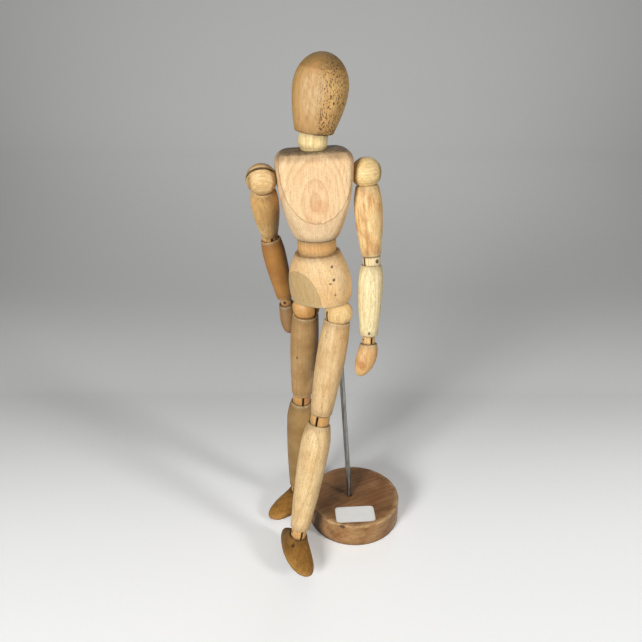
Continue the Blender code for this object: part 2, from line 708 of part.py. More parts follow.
def build_torso(rod):
    pelvis = build_pelvis(rod)
    side = turn("Y", WAIST_SIDE)
    bend = turn("X", WAIST_BEND)
    chest_in_pelvis = WAIST_CENTRE @ side @ bend @ move(z=WAIST_RISE) @ turn("Z", WAIST_TWIST)
    waist_spring = spring(
        "waist_spring", pelvis, WAIST_CENTRE @ side, PELVIS_AXIS @ move(z=PELVIS_ANCHOR),
        chest_in_pelvis @ move(y=HOOK_SPACING, z=CHEST_ANCHOR))
    waist_peg = body_peg("waist_peg", WAIST_RADIUS, WAIST_BALL, WAIST_RISE, WAIST_SPIGOT,
                         WAIST_SPIGOT_LENGTH, TORSO_WOOD, waist_spring, bend)
    chest = build_chest(waist_peg)
    side = turn("Y", NECK_SIDE)
    bend = turn("X", NECK_BEND)
    head_in_chest = NECK_CENTRE @ side @ bend @ move(z=NECK_RISE) @ turn("Z", HEAD_TURN)
    neck_spring = spring(
        "neck_spring", chest, NECK_CENTRE @ side, move(y=-HOOK_SPACING, z=CHEST_ANCHOR),
        head_in_chest @ move(z=HEAD_ANCHOR))
    neck_peg = body_peg("neck_peg", NECK_RADIUS, NECK_BALL, NECK_RISE, NECK_SPIGOT,
                        NECK_SPIGOT_LENGTH, TORSO_WOOD, neck_spring, bend)
    build_head(neck_peg)
    return pelvis, chest


def build_arm(side, chest):
    held, bend = fit_joint("shoulder", side, chest, shoulder_seat(side))
    upper = limb(f"upper_arm_{side}", UPPER_ARM_LENGTH, UPPER_ARM_BELLY, UPPER_ARM_BELLY_AT,
                 JOINTS["shoulder"], JOINTS["elbow"], LIMB_WOOD, held, bend)
    tongue(f"shoulder_tongue_{side}", JOINTS["shoulder"], TONGUE_STEEL, upper)
    held, bend = fit_joint("elbow", side, upper, move(z=-UPPER_ARM_LENGTH))
    lower = limb(f"forearm_{side}", FOREARM_LENGTH, FOREARM_BELLY, FOREARM_BELLY_AT, JOINTS["elbow"],
                 JOINTS["wrist"], LIMB_WOOD, held, bend)
    tongue(f"elbow_tongue_{side}", JOINTS["elbow"], TONGUE_STEEL, lower)
    held, bend = fit_joint("wrist", side, lower, move(z=-FOREARM_LENGTH))
    palm = hand(f"hand_{side}", side, JOINTS["wrist"], LIMB_WOOD, held, bend)
    tongue(f"wrist_tongue_{side}", JOINTS["wrist"], TONGUE_STEEL, palm)


def build_leg(side, pelvis):
    held, bend = fit_joint("hip", side, pelvis, hip_seat(side))
    thigh = limb(f"thigh_{side}", THIGH_LENGTH, THIGH_BELLY, THIGH_BELLY_AT,
                 JOINTS["hip"], JOINTS["knee"], LIMB_WOOD, held, bend)
    tongue(f"hip_tongue_{side}", JOINTS["hip"], TONGUE_STEEL, thigh)
    held, bend = fit_joint("knee", side, thigh, move(z=-THIGH_LENGTH))
    shin = limb(f"shin_{side}", SHIN_LENGTH, SHIN_BELLY, SHIN_BELLY_AT,
                JOINTS["knee"], JOINTS["ankle"], LIMB_WOOD, held, bend)
    tongue(f"knee_tongue_{side}", JOINTS["knee"], TONGUE_STEEL, shin)
    held, bend = fit_joint("ankle", side, shin, move(z=-SHIN_LENGTH))
    sole = foot(f"foot_{side}", side, JOINTS["ankle"], FOOT_WOOD, held, bend)
    tongue(f"ankle_tongue_{side}", JOINTS["ankle"], TONGUE_STEEL, sole)


clear_scene()

BASE_WOOD = material("base wood", (0.33, 0.2, 0.11), 0.5)
TORSO_WOOD = material("torso wood", (0.55, 0.38, 0.24), 0.5)
HEAD_WOOD = material("head wood", (0.5, 0.32, 0.17), 0.5)
LIMB_WOOD = material("limb wood", (0.52, 0.31, 0.14), 0.45)
PEG_WOOD = material("peg wood", (0.5, 0.33, 0.18), 0.5)
FOOT_WOOD = material("foot wood", (0.3, 0.2, 0.1), 0.5)
ROD_STEEL = material("rod steel", (0.42, 0.42, 0.42), 0.4, 1.0)
PIN_STEEL = material("pin steel", (0.16, 0.15, 0.14), 0.5, 1.0)
TONGUE_STEEL = material("tongue steel", (0.25, 0.24, 0.23), 0.5, 1.0)
SPRING_STEEL = material("spring steel", (0.35, 0.35, 0.36), 0.4, 1.0)

PELVIS_AXIS = move(x=-ROD_BORE_SIDE, y=-ROD_BORE_BACK)
WAIST_CENTRE = PELVIS_AXIS @ move(z=PELVIS_HEIGHT + WAIST_DROP)
NECK_CENTRE = move(z=CHEST_HEIGHT + NECK_DROP)
ROD_FOOT = move(x=ROD_SET_IN - BASE_DIAMETER / 2, z=BASE_THICKNESS) @ turn("Y", ROD_LEAN)
STAND_HEIGHT = stand_height()

stand = build_base()
post = build_rod(stand)
hips, trunk = build_torso(post)
for hand_side in SIDE_SIGN:
    build_arm(hand_side, trunk)
    build_leg(hand_side, hips)
bpy.context.view_layer.update()
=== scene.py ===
import json
import math

import bpy
import numpy as np
from mathutils import Matrix, Vector


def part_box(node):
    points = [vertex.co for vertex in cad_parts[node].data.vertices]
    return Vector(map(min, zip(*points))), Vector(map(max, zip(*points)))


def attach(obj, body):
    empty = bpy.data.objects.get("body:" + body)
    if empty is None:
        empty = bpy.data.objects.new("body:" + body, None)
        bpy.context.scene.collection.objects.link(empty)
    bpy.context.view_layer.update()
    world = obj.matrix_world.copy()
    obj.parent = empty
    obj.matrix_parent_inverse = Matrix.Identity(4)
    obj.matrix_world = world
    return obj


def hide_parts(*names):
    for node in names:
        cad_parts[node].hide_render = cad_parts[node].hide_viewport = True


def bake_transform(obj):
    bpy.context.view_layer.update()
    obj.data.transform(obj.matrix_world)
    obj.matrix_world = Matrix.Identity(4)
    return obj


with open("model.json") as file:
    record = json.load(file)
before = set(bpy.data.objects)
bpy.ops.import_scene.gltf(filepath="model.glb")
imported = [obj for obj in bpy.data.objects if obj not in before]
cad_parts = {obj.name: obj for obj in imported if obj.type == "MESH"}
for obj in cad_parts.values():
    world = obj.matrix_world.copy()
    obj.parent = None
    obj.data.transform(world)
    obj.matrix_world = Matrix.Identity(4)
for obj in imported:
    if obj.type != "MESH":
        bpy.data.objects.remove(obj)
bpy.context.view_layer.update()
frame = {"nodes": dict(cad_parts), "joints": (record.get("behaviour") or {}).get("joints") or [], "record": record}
mm = 0.001
quarter = math.pi / 2
fullTurn = 2 * math.pi
crease = math.radians(38)    # steeper edges are shaded sharp
joints = {row["name"]: row for row in frame["joints"]}
bodyOf = {node: body for body, nodes in frame["record"]["behaviour"]["bodies"].items() for node in nodes}
sideSign = {"left": 1, "right": -1}


# Places and directions

def jointPlace(name):
    return np.array(joints[name]["pos_m"])


def jointAxis(name):
    return np.array(joints[name]["axis"])


# right-handed axes as columns: z as given, x as near as it can be to the one given
def axesFrom(x, z):
    z = z / np.linalg.norm(z)
    x = x - z * (x @ z)
    x = x / np.linalg.norm(x)
    return np.column_stack((x, np.cross(z, x), z))


# axes turned by an angle about their own x or z
def turnAxes(axes, degrees, about):
    return axes @ np.array(Matrix.Rotation(math.radians(degrees), 3, about))


# Curves

def joined(*runs):
    return np.concatenate(runs)


# lower of two values, with the crossing rounded over a width
def smoothMin(a, b, width):
    h = np.clip(0.5 + 0.5 * (b - a) / width, 0, 1)
    return b + (a - b) * h - width * h * (1 - h)


# cubic through the points whose slopes are the mean slopes of the two spans that meet
def smoothCurve(t, points):
    xs, ys = np.array(points, float).T
    spans = np.diff(ys) / np.diff(xs)
    slopes = joined(spans[:1], (spans[:-1] + spans[1:]) / 2, spans[-1:])
    i = np.clip(np.searchsorted(xs, t, side="right") - 1, 0, len(xs) - 2)
    wide, tall = xs[i + 1] - xs[i], ys[i + 1] - ys[i]
    u = (t - xs[i]) / wide
    near, far = slopes[i] * wide, slopes[i + 1] * wide
    return ys[i] + u * near + u ** 2 * (3 * tall - 2 * near - far) + u ** 3 * (near + far - 2 * tall)


# quarter round: how far an edge of that radius falls back at a distance from its end
def quarterRound(distance, radius):
    short = np.clip(1 - distance / radius, 0, 1)
    return radius * (1 - np.sqrt(1 - short ** 2))


# the same for both ends of a length, each with its own radius
def endRounds(steps, length, first, last):
    return quarterRound(steps, first) + quarterRound(length - steps, last)


# distances from 0 to a radius at equal turns of a quarter circle
def easedStart(radius, count):
    return radius * (1 - np.cos(np.linspace(0, quarter, count)))


# distances from 0 to a length, packed closely over the quarter rounds at both ends
def easedSteps(length, radius, count):
    near = easedStart(radius, 9)
    return joined(near[:-1], np.linspace(radius, length - radius, count), (length - near)[::-1][1:])


# egg from rim to tip: its steps, its growth to the fullest place by a sine, its closing by a circle
def eggSteps(edge, fullest, counts):
    t = joined(easedStart(edge, counts[0]), np.linspace(edge, fullest, counts[1])[1:],
               fullest + (1 - fullest) * np.sin(np.linspace(0, quarter, counts[2])[1:]))
    grown = np.sin(quarter * np.minimum(t / fullest, 1))
    closing = (np.maximum(t - fullest, 0) / (1 - fullest)) ** 2
    return t, grown, np.sqrt(np.clip(1 - closing, 0, 1))


# arc round the joint centre as (radius, height), between two angles from level
def arcPath(radius, start, end, count):
    a = np.linspace(start, end, count)
    return np.column_stack((radius * np.cos(a), radius * np.sin(a)))


# straight run of points between two corners
def linePath(start, end, count):
    return np.linspace(np.array(start, float), np.array(end, float), count)


# Surfaces: rows of points, closed round each row

def ringAngles(sides):
    return np.linspace(0, fullTurn, sides, endpoint=False)


# x, y and one height for each row, stacked into rows of points
def ringRows(x, y, heights):
    return np.stack((x, y, np.repeat(np.reshape(heights, (-1, 1)), x.shape[1], 1)), 2)


# turned surface: each (radius, height) of the profile carried round the z axis
def turnedRows(profile, sides=96):
    a = ringAngles(sides)
    return ringRows(profile[:, :1] * np.cos(a), profile[:, :1] * np.sin(a), profile[:, 1])


# squared ellipse of each row: half size times cosine or sine to the power 2 / square
def squareRing(halfX, halfY, square, sides):
    a = ringAngles(sides)
    power = 2 / np.reshape(square, (-1, 1))
    return [np.sign(wave) * np.abs(wave) ** power * np.reshape(half, (-1, 1))
            for wave, half in ((np.cos(a), halfX), (np.sin(a), halfY))]


# hand-turned unevenness: a few slow waves round and along the piece, only ever inwards
def unevenRows(rows, depth, seed):
    waves = np.random.default_rng(seed)
    a = np.arctan2(rows[:, :, 1], rows[:, :, 0])
    total = np.zeros(a.shape)
    for turns in (1, 2, 3, 5):
        along, phase, drift = waves.uniform(0.05, 0.35), waves.uniform(0, 6.28), waves.uniform(0, 6.28)
        total += np.cos(turns * a + phase) * np.cos(along * rows[:, :, 2] + drift)
    out = np.hypot(rows[:, :, 0], rows[:, :, 1])
    keep = 1 - depth * (1 + total / 4) / 2 / np.maximum(out, 4 * depth)
    return rows * np.stack((keep, keep, np.ones(keep.shape)), 2)


# faces of the rows: quads between neighbours, with a fan at each pole, or the last row joined to the first
def rowFaces(rows, loop):
    n, m = rows.shape[:2]
    step = np.arange(m)
    after = (step + 1) % m
    row = np.arange(n if loop else n - 3)[:, None]
    low, high = (row * m, (row + 1) % n * m) if loop else (1 + row * m, 1 + row * m + m)
    quads = np.stack((low + step, low + after, high + after, high + step), 2).reshape(-1, 4)
    if loop:
        return rows.reshape(-1, 3), quads, np.zeros((0, 3), int)
    points = joined(rows[:1].mean(1), rows[1:-1].reshape(-1, 3), rows[-1:].mean(1))
    last = 1 + (n - 3) * m
    first = np.stack((np.zeros(m, int), 1 + after, 1 + step), 1)
    final = np.stack((last + step, last + after, np.full(m, len(points) - 1)), 1)
    return points, quads, joined(first, final)


# mesh of the rows, turned outwards where its volume comes out negative
def rowMesh(name, rows, loop=False):
    points, quads, fans = rowFaces(rows, loop)
    a, b, c = points[joined(quads[:, :3], quads[:, [0, 2, 3]], fans)].transpose(1, 0, 2)
    faces = quads.tolist() + fans.tolist()
    if np.einsum("ij,ij->", a, np.cross(b, c)) < 0:
        faces = [face[::-1] for face in faces]
    mesh = bpy.data.meshes.new(name)
    mesh.from_pydata(points.tolist(), [], faces)
    return mesh


def newObject(name, data):
    made = bpy.data.objects.new(name, data)
    bpy.context.scene.collection.objects.link(made)
    return made


# turned cutter set at a place along an axis, both in the piece's own millimetres
def turnedCutter(profile, place, axis, sides):
    axis = np.array(axis, float)
    helper = np.array((0.0, 1.0, 0.0) if abs(axis[1]) < 0.9 else (1.0, 0.0, 0.0))
    return turnedRows(np.array(profile, float), sides) @ axesFrom(helper, axis).T + np.array(place)


def barCutter(radius, start, end, place=(0, 0, 0), axis=(0, 0, 1)):
    return turnedCutter([(0, start), (radius, start), (radius, end), (0, end)], place, axis, 40)


# box cutter: four corners at each height, with a pole in each end
def slotCutter(halfX, halfY, low, high):
    corners = np.array(((halfX, halfY), (-halfX, halfY), (-halfX, -halfY), (halfX, -halfY)))
    ends = ((0, low), (1, low), (1, high), (0, high))
    return np.array([np.column_stack((corners * size, np.full(4, z))) for size, z in ends])


# cuts the solids out of a mesh and gives back the new mesh
def carve(mesh, cutters):
    block = newObject("block", mesh)
    tools = [newObject("tool", rowMesh("tool", rows)) for rows in cutters]
    for tool in tools:
        step = block.modifiers.new("cut", "BOOLEAN")
        step.operation, step.solver, step.object = "DIFFERENCE", "EXACT", tool
    ready = block.evaluated_get(bpy.context.evaluated_depsgraph_get())
    cutMesh = bpy.data.meshes.new_from_object(ready)
    for old in (block, *tools):
        oldMesh = old.data
        bpy.data.objects.remove(old)
        bpy.data.meshes.remove(oldMesh)
    return cutMesh


# Finishes

# written colour, 0 to 255, as the linear colour that a socket takes
def paint(colour):
    c = np.array(colour, float) / 255
    linear = np.where(c <= 0.04045, c / 12.92, ((c + 0.055) / 1.055) ** 2.4)
    return (*[float(v) for v in linear], 1.0)


class Strand:    # one socket of a finish; arithmetic on it adds Math nodes
    def __init__(self, tree, socket=None):
        self.tree = tree
        self.socket = socket

    def node(self, kind, settings=None, values=None, out=0):
        made = self.tree.nodes.new(kind)
        for key, value in (settings or {}).items():
            setattr(made, key, value)
        for key, value in (values or {}).items():
            if isinstance(value, Strand):
                self.tree.links.new(value.socket, made.inputs[key])
            else:
                made.inputs[key].default_value = value
        return Strand(self.tree, made.outputs[out])

    def math(self, operation, *values):
        return self.node("ShaderNodeMath", {"operation": operation}, dict(enumerate(values)))

    def vector(self, operation, *others, out=0):
        values = dict(enumerate((self,) + others))
        return self.node("ShaderNodeVectorMath", {"operation": operation}, values, out)

    def __add__(self, other):
        return self.math("ADD", self, other)

    def __radd__(self, other):
        return self.math("ADD", other, self)

    def __sub__(self, other):
        return self.math("SUBTRACT", self, other)

    def __rsub__(self, other):
        return self.math("SUBTRACT", other, self)

    def __mul__(self, other):
        return self.math("MULTIPLY", self, other)

    def __rmul__(self, other):
        return self.math("MULTIPLY", other, self)

    def __truediv__(self, other):
        return self.math("DIVIDE", self, other)

    def __rtruediv__(self, other):
        return self.math("DIVIDE", other, self)

    def atMost(self, limit):
        return self.math("MINIMUM", self, limit)

    def atLeast(self, limit):
        return self.math("MAXIMUM", self, limit)

    # 0 below the low value, 1 above the high one, smooth between
    def ramp(self, low, high):
        values = {0: self, 1: low, 2: high}
        return self.node("ShaderNodeMapRange", {"interpolation_type": "SMOOTHSTEP"}, values)

    # this colour moved towards a written one by a share
    def towards(self, tone, share):
        return self.node("ShaderNodeMix", {"data_type": "RGBA"}, {0: share, 6: self, 7: paint(tone)}, 2)

    # two written colours mixed by this share
    def between(self, first, second):
        values = {0: self, 6: paint(first), 7: paint(second)}
        return self.node("ShaderNodeMix", {"data_type": "RGBA"}, values, 2)

    # distance of these coordinates from a place, stretched along the three axes
    def away(self, place, stretch):
        return self.vector("SUBTRACT", place).vector("MULTIPLY", stretch).vector("LENGTH", out="Value")

    def noise(self, stretch, detail, roughness, out=0):
        return self.node("ShaderNodeTexNoise", {}, {
            "Vector": self.vector("MULTIPLY", stretch), "Scale": 1.0, "Detail": detail,
            "Roughness": roughness}, out)

    # relief of this height, as the normal that a shader takes
    def bump(self, strength, deep):
        return self.node("ShaderNodeBump", {}, {"Height": self, "Strength": strength, "Distance": deep * mm})

    def attribute(self, name):
        return self.node("ShaderNodeAttribute", {"attribute_name": name}, out="Fac")

    def objectPlace(self):
        return self.node("ShaderNodeTexCoord", out="Object")


def newFinish(name):
    made = bpy.data.materials.new(name)
    made.use_nodes = True
    return made, made.node_tree.nodes["Principled BSDF"], Strand(made.node_tree)


# links what varies over a surface to the sockets of its shader
def wireUp(shader, strands):
    for socket, strand in strands.items():
        strand.tree.links.new(strand.socket, shader.inputs[socket])


# coordinates of the piece's own frame in millimetres
def ownCoordinates(bench, place, axes):
    return bench.node("ShaderNodeMapping", {"vector_type": "TEXTURE"}, {
        "Vector": bench.objectPlace(), "Location": tuple(place),
        "Rotation": tuple(Matrix(axes.tolist()).to_euler()), "Scale": (mm, mm, mm)})


woodLook = {
    "pale": (236, 206, 150), "mid": (222, 184, 124), "dark": (160, 112, 62), "stain": (196, 140, 78),
    "fleck": (96, 60, 30), "grime": (84, 60, 38), "rubbed": (244, 222, 174),
    "pith": (22, 14, -30), "reach": 0.12, "ring": 2.6, "wander": 3.0, "lay": (0, 0, 0),
    "mottle": 0.05, "patch": 0.35, "roughness": 0.46, "specular": 0.35, "bump": 0.22, "deep": 0.25,
    "ringShare": 0.26, "stainShare": 0.38, "streakShare": 0.38, "fibreShare": 0.2, "fleckShare": 0.4,
    "grimeShare": 0.85, "rubShare": 0.6, "soilShare": 0.55, "groundRag": 0.06, "spotRag": 0.3,
    "fleckFrom": 0.63, "fleckOver": 0.07, "fleckWay": (0, 0, 0), "fleckBand": (-1, -0.5),
    "fleckGrain": (2.0, 2.0, 0.65), "driftGrain": (0.022, 0.022, 0.011), "cloudGrain": (0.09, 0.09, 0.03),
}
woodLayers = {    # each layer of noise: its stretch in the piece's own frame, detail, roughness and ramp
    "streak": ((1.5, 1.5, 0.03), 4.0, 0.62, (0.42, 0.72)),
    "grain": ((5.5, 5.5, 0.16), 3.0, 0.6, (0.3, 0.75)),
    "soil": ((0.6, 0.6, 0.14), 7.0, 0.75, (0.47, 0.72)),
}
woodSheen = {"mottle": 0.1, "grain": 0.08, "dirt": 0.15, "wear": 0.08}
woodRelief = {"grain": 0.5, "late": 0.35, "fleck": 0.5, "patch": 0.4}


# wood: rings at equal distances from a pith, drawn out along the grain by the reach, then streaks, fibres
# and flecks; dirt and rubbing come from the piece's own attributes, and marks are soft ellipsoids; the dirt
# holds painted shade on the chest's top, the rubbing painted light on the base's side, and one mark is a
# painted shadow and one a painted light
def woodFinish(name, look, place, axes, spots, grounds):
    look = {**woodLook, **look}
    made, shader, bench = newFinish(name)
    bare = own = ownCoordinates(bench, place, axes)
    if any(look["lay"]):
        own = bench.node("ShaderNodeMapping", {}, {"Vector": bare, "Rotation": look["lay"]})
    drift = own.noise(look["driftGrain"], 2.0, 0.5, 1).vector("MULTIPLY_ADD", (look["wander"],) * 3, own)
    phase = drift.away(look["pith"], (1, 1, look["reach"])) / look["ring"]
    saw = phase.math("FRACT", phase)
    whichRing = {"W": phase.math("FLOOR", phase)}
    strength = bench.node("ShaderNodeTexWhiteNoise", {"noise_dimensions": "1D"}, whichRing, "Value")
    late = saw.ramp(0.3, 0.9) * (1 - saw.ramp(0.93, 1.0)) * (strength * 0.8 + 0.25)
    streak, grain, soil = (own.noise(*layer).ramp(*edges) for *layer, edges in woodLayers.values())
    fleckTo = look["fleckFrom"] + look["fleckOver"]
    fleck = own.noise(look["fleckGrain"], 1.0, 0.4).ramp(look["fleckFrom"], fleckTo)
    fleck = fleck * bare.vector("DOT_PRODUCT", look["fleckWay"], out="Value").ramp(*look["fleckBand"])
    mottle = own.noise((look["mottle"],) * 3, 3.0, 0.55).ramp(0.3, 0.7)
    cloud = {"Color": own.noise(look["cloudGrain"], 4.0, 0.6, 1)}
    cloud = bench.node("ShaderNodeSeparateColor", {}, cloud, 1).ramp(0.48, 0.7)
    patchy = own.noise((look["patch"], look["patch"], look["patch"] * 0.6), 4.0, 0.65)
    # the dirt attribute, which on the chest's top is partly painted shade
    dirtAndShade = (bench.attribute("dirt") * (patchy * 1.5 + 0.25)).atMost(1.0)
    # the rubbed attribute, which on the base's side is partly painted light
    wearAndLight = (bench.attribute("rubbed") * patchy.ramp(0.3, 0.65)).atMost(1.0)

    def laid(under, marks, rag):
        for at, half, share, tone, soft in marks:
            edge = bare.away(at, [1 / h for h in half]) + (patchy - 0.5) * rag
            under = under.towards(tone, (1 - edge.ramp(1 - soft, 1)) * share)
        return under

    colour = laid(mottle.between(look["pale"], look["mid"]), grounds, look["groundRag"])
    for tone, mask, share in (("stain", cloud, "stainShare"), ("dark", late, "ringShare"),
                              ("dark", streak, "streakShare"), ("dark", grain, "fibreShare"),
                              ("rubbed", wearAndLight, "rubShare"), ("dark", soil, "soilShare")):
        colour = colour.towards(look[tone], mask * look[share])
    colour = laid(colour, spots, look["spotRag"])
    colour = colour.towards(look["fleck"], fleck * look["fleckShare"])
    colour = colour.towards(look["grime"], dirtAndShade * look["grimeShare"])
    dull, high = woodSheen, woodRelief
    sheen = look["roughness"] + (mottle - 0.5) * dull["mottle"] + grain * dull["grain"]
    sheen = sheen + dirtAndShade * dull["dirt"] - wearAndLight * dull["wear"]
    relief = grain * -high["grain"] + late * high["late"] - fleck * high["fleck"] + patchy * high["patch"]
    relief = relief.bump(look["bump"], look["deep"])
    wireUp(shader, {"Base Color": colour, "Roughness": sheen, "Normal": relief})
    shader.inputs["Specular IOR Level"].default_value = look["specular"]
    return made


steelWear = {"patch": (180, 180, 120), "patchDull": 0.25, "markDull": 0.08, "bump": 0.1, "deep": 0.05}


# steel: fine marks drawn along or round the piece, dull patches and a little brown tarnish
def steelFinish(name, look):
    made, shader, bench = newFinish(name)
    seen, wear = bench.objectPlace(), steelWear
    marks = seen.noise(look["marks"], 3.0, 0.6).ramp(0.3, 0.7)
    patch = seen.noise(wear["patch"], 4.0, 0.6).ramp(0.48, 0.75)
    colour = marks.between(look["dark"], look["pale"]).towards(look["tarnish"], patch * look["tarnishShare"])
    sheen = look["roughness"] + patch * wear["patchDull"] + marks * wear["markDull"]
    relief = marks.bump(wear["bump"], wear["deep"])
    wireUp(shader, {"Base Color": colour, "Roughness": sheen, "Normal": relief})
    shader.inputs["Metallic"].default_value = 1.0
    return made


# Setting a piece in place

# bell curve: one at a value, falling off on both sides over a width
def bell(values, at, width):
    return np.exp(-((values - at) / width) ** 2)


# rise from 0 to 1 that starts at a value and takes a length
def rise(values, start, length):
    return np.clip((values - start) / length, 0, 1)


# nearness to circles round the z axis, each given as (radius, height), falling off over a width
def nearRings(own, rings, width):
    x, y, z = own.T
    out = np.hypot(x, y)
    return np.max([np.exp(-((out - r) ** 2 + (z - h) ** 2) / width ** 2) for r, h in rings], 0)


# dirt round such circles, the most of several bands that each have a share and a width
def ringDirt(own, rings, *bands):
    return np.max([share * nearRings(own, rings, width) for share, width in bands], 0)


# dirt on a round wall at a radius from each of the centres
def wallDirt(own, centres, radius, share, width):
    far = [np.linalg.norm(own - centre, axis=1) for centre in centres]
    return share * bell(np.array(far), radius, width).max(0)


# the most of several shares at each point
def most(*shares):
    return np.max(np.broadcast_arrays(*shares), 0)


def setAttribute(mesh, name, values):
    mesh.attributes.new(name, "FLOAT", "POINT").data.foreach_set("value", values.astype(np.float32))


def pieceName(node):
    first, *rest = node.split("_")
    return first + "".join(word.capitalize() for word in rest)


# finished piece: attributes from its own millimetres, then moved to its place in metres
def setPiece(node, mesh, place, axes, finish, marks=None):
    own = np.zeros(len(mesh.vertices) * 3)
    mesh.vertices.foreach_get("co", own)
    own = own.reshape(-1, 3)
    if marks:
        for name, values in zip(("rubbed", "dirt"), marks(own)):
            setAttribute(mesh, name, values)
    mesh.vertices.foreach_set("co", (own * mm @ axes.T + place).ravel())
    mesh.update()
    mesh.shade_smooth()
    mesh.set_sharp_from_angle(angle=crease)
    mesh.materials.clear()
    mesh.materials.append(finish)
    piece = newObject(pieceName(node), mesh)
    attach(piece, bodyOf[node])
    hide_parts(node)


def woodPiece(node, mesh, place, axes, look, marks, spots=(), grounds=()):
    finish = woodFinish(pieceName(node) + "Wood", look, place, axes, spots, grounds)
    setPiece(node, mesh, place, axes, finish, marks)


# Joint sizes, in millimetres from the joint centre

gap = 0.3
rimWall = 0.7
pegLip = 0.5
slotRoof = 0.8
tongueSize = {"halfThick": 0.7, "halfWide": 3}
facetSlack = math.cos(math.pi / 16) * math.cos(math.radians(10))    # the solids' round walls are many-sided
jointCut = {
    "shoulder": {"drop": 9.3, "spigot": 4, "tenon": 10, "reach": 9, "ball": 11.7, "slotTop": 6,
                 "slotEnd": 9.2},
    "elbow": {"drop": 3.8, "spigot": 4, "tenon": 10, "reach": 9, "collar": 7.8, "rise": 3.8, "peg": 7},
    "wrist": {"drop": 3.4, "spigot": 3, "tenon": 9, "reach": 7, "collar": 7.4, "rise": 3.4, "peg": 5.1},
    "hip": {"drop": 6.5, "spigot": 4, "tenon": 10, "reach": 9, "ball": 11.4, "slotTop": 4},
    "knee": {"drop": 4.8, "spigot": 4.5, "tenon": 12, "reach": 10, "collar": 9.4, "rise": 4.8, "peg": 8.1},
    "ankle": {"drop": 4, "spigot": 3.6, "tenon": 10, "reach": 6, "collar": 8.7, "rise": 4, "peg": 6.6},
}
for cut in jointCut.values():
    if "peg" in cut:
        cut["ball"] = math.hypot(cut["peg"], cut["drop"] + pegLip)
        cut["slotTop"] = cut["rise"] - gap - slotRoof
    cut["cup"] = cut["ball"] + gap
    cut["mouth"] = math.sqrt(cut["cup"] ** 2 - cut["drop"] ** 2)
    cut["rim"] = math.sqrt((cut["cup"] / facetSlack) ** 2 - cut["drop"] ** 2) + rimWall
    tongue = cut["slotTop"] - gap
    tongue = tongue if "peg" in cut else min(tongue, tongueSize["halfWide"])
    cut["bore"] = math.hypot(tongue, tongueSize["halfThick"]) + 2 * gap
    cut["floor"] = -(cut["ball"] + cut["reach"] + gap)
    cut.setdefault("slotEnd", cut["slotTop"])


# axes and centre of a joint's peg or ball: z up its tenon, x along its pin
def pegFrame(kind, side):
    pin = jointAxis(f"{kind}_bend_{side}")
    if kind == "hip" and side == "left":
        pin = -pin
    return axesFrom(pin, jointAxis(f"{kind}_turn_{side}")), jointPlace(f"{kind}_turn_{side}")


# cup of a joint as (radius, height): from its mouth round to the tongue's bore and its floor
def cupPath(cut):
    start = -math.asin(cut["drop"] / cut["cup"])
    end = -quarter + math.asin(cut["bore"] / cut["cup"])
    bottom = linePath((cut["bore"], cut["floor"]), (0, cut["floor"]), 4)
    return joined(arcPath(cut["cup"], start, end, 22), bottom)


# Limbs

limbCut = {
    "upper_arm": {"length": 67, "belly": 22.5, "bellyAt": 0.3, "upper": "shoulder", "lower": "elbow"},
    "forearm": {"length": 64, "belly": 20, "bellyAt": 0.25, "upper": "elbow", "lower": "wrist"},
    "thigh": {"length": 93.5, "belly": 24.7, "bellyAt": 0.3, "upper": "hip", "lower": "knee"},
    "shin": {"length": 110, "belly": 26, "bellyAt": 0.2, "upper": "knee", "lower": "ankle"},
}
limbTurning = {"edge": 0.9, "inset": 0.3, "uneven": 0.12}
# the right forearm, thigh and shin have darker tones than the left ones: partly their own wood, partly painted
# shade for the figure's shaded right side
limbLooks = {
    "upper_arm_left": {"pale": (252, 222, 160), "mid": (246, 206, 138), "pith": (26, 8, 20), "ring": 2.9,
                       "stain": (188, 118, 54), "stainShare": 0.85},
    "upper_arm_right": {"pale": (246, 210, 142), "mid": (228, 182, 114), "pith": (-20, 18, -80), "ring": 2.4,
                        "stain": (150, 94, 44), "stainShare": 0.6},
    "forearm_left": {"pale": (252, 240, 188), "mid": (247, 226, 172), "pith": (18, -24, -90), "ring": 2.6,
                     "stainShare": 0.15},
    "forearm_right": {"pale": (184, 132, 65), "mid": (152, 102, 47), "pith": (-30, 6, 10), "ring": 2.8,
                      "stain": (140, 88, 42), "stainShare": 0.6},
    "thigh_left": {"pale": (230, 200, 148), "mid": (212, 176, 122), "pith": (-34, -12, -120), "ring": 3.2,
                   "stainShare": 0.25},
    "thigh_right": {"pale": (194, 164, 114), "mid": (166, 132, 84), "pith": (28, -20, 30), "ring": 2.7},
    "shin_left": {"pale": (241, 213, 160), "mid": (228, 194, 138), "pith": (10, 32, -40), "ring": 3.0,
                  "stainShare": 0.3},
    "shin_right": {"pale": (160, 134, 85), "mid": (132, 106, 62), "pith": (-24, -18, -150), "ring": 2.5,
                   "stain": (140, 100, 54), "stainShare": 0.5},
}
darkMark = (62, 36, 18)
limbSpots = {    # each mark: its place, half sizes, share, colour and softness
    "forearm_left": [((6.0, -4.5, -57.5), (1.3, 1.3, 1.8), 0.85, darkMark, 0.5)],
    "thigh_right": [((-11.6, -2.8, -44.4), (1.2, 1.2, 1.8), 0.8, darkMark, 0.5)],
}


# limb radius: from the rim out to the belly by a sine, then in to the collar by a cosine
def limbRadius(t, top, belly, end, bellyAt):
    up = top + (belly - top) * np.sin(quarter * np.minimum(t / bellyAt, 1))
    down = end + (belly - end) * np.cos(quarter * (np.maximum(t, bellyAt) - bellyAt) / (1 - bellyAt))
    return np.where(t < bellyAt, up, down)


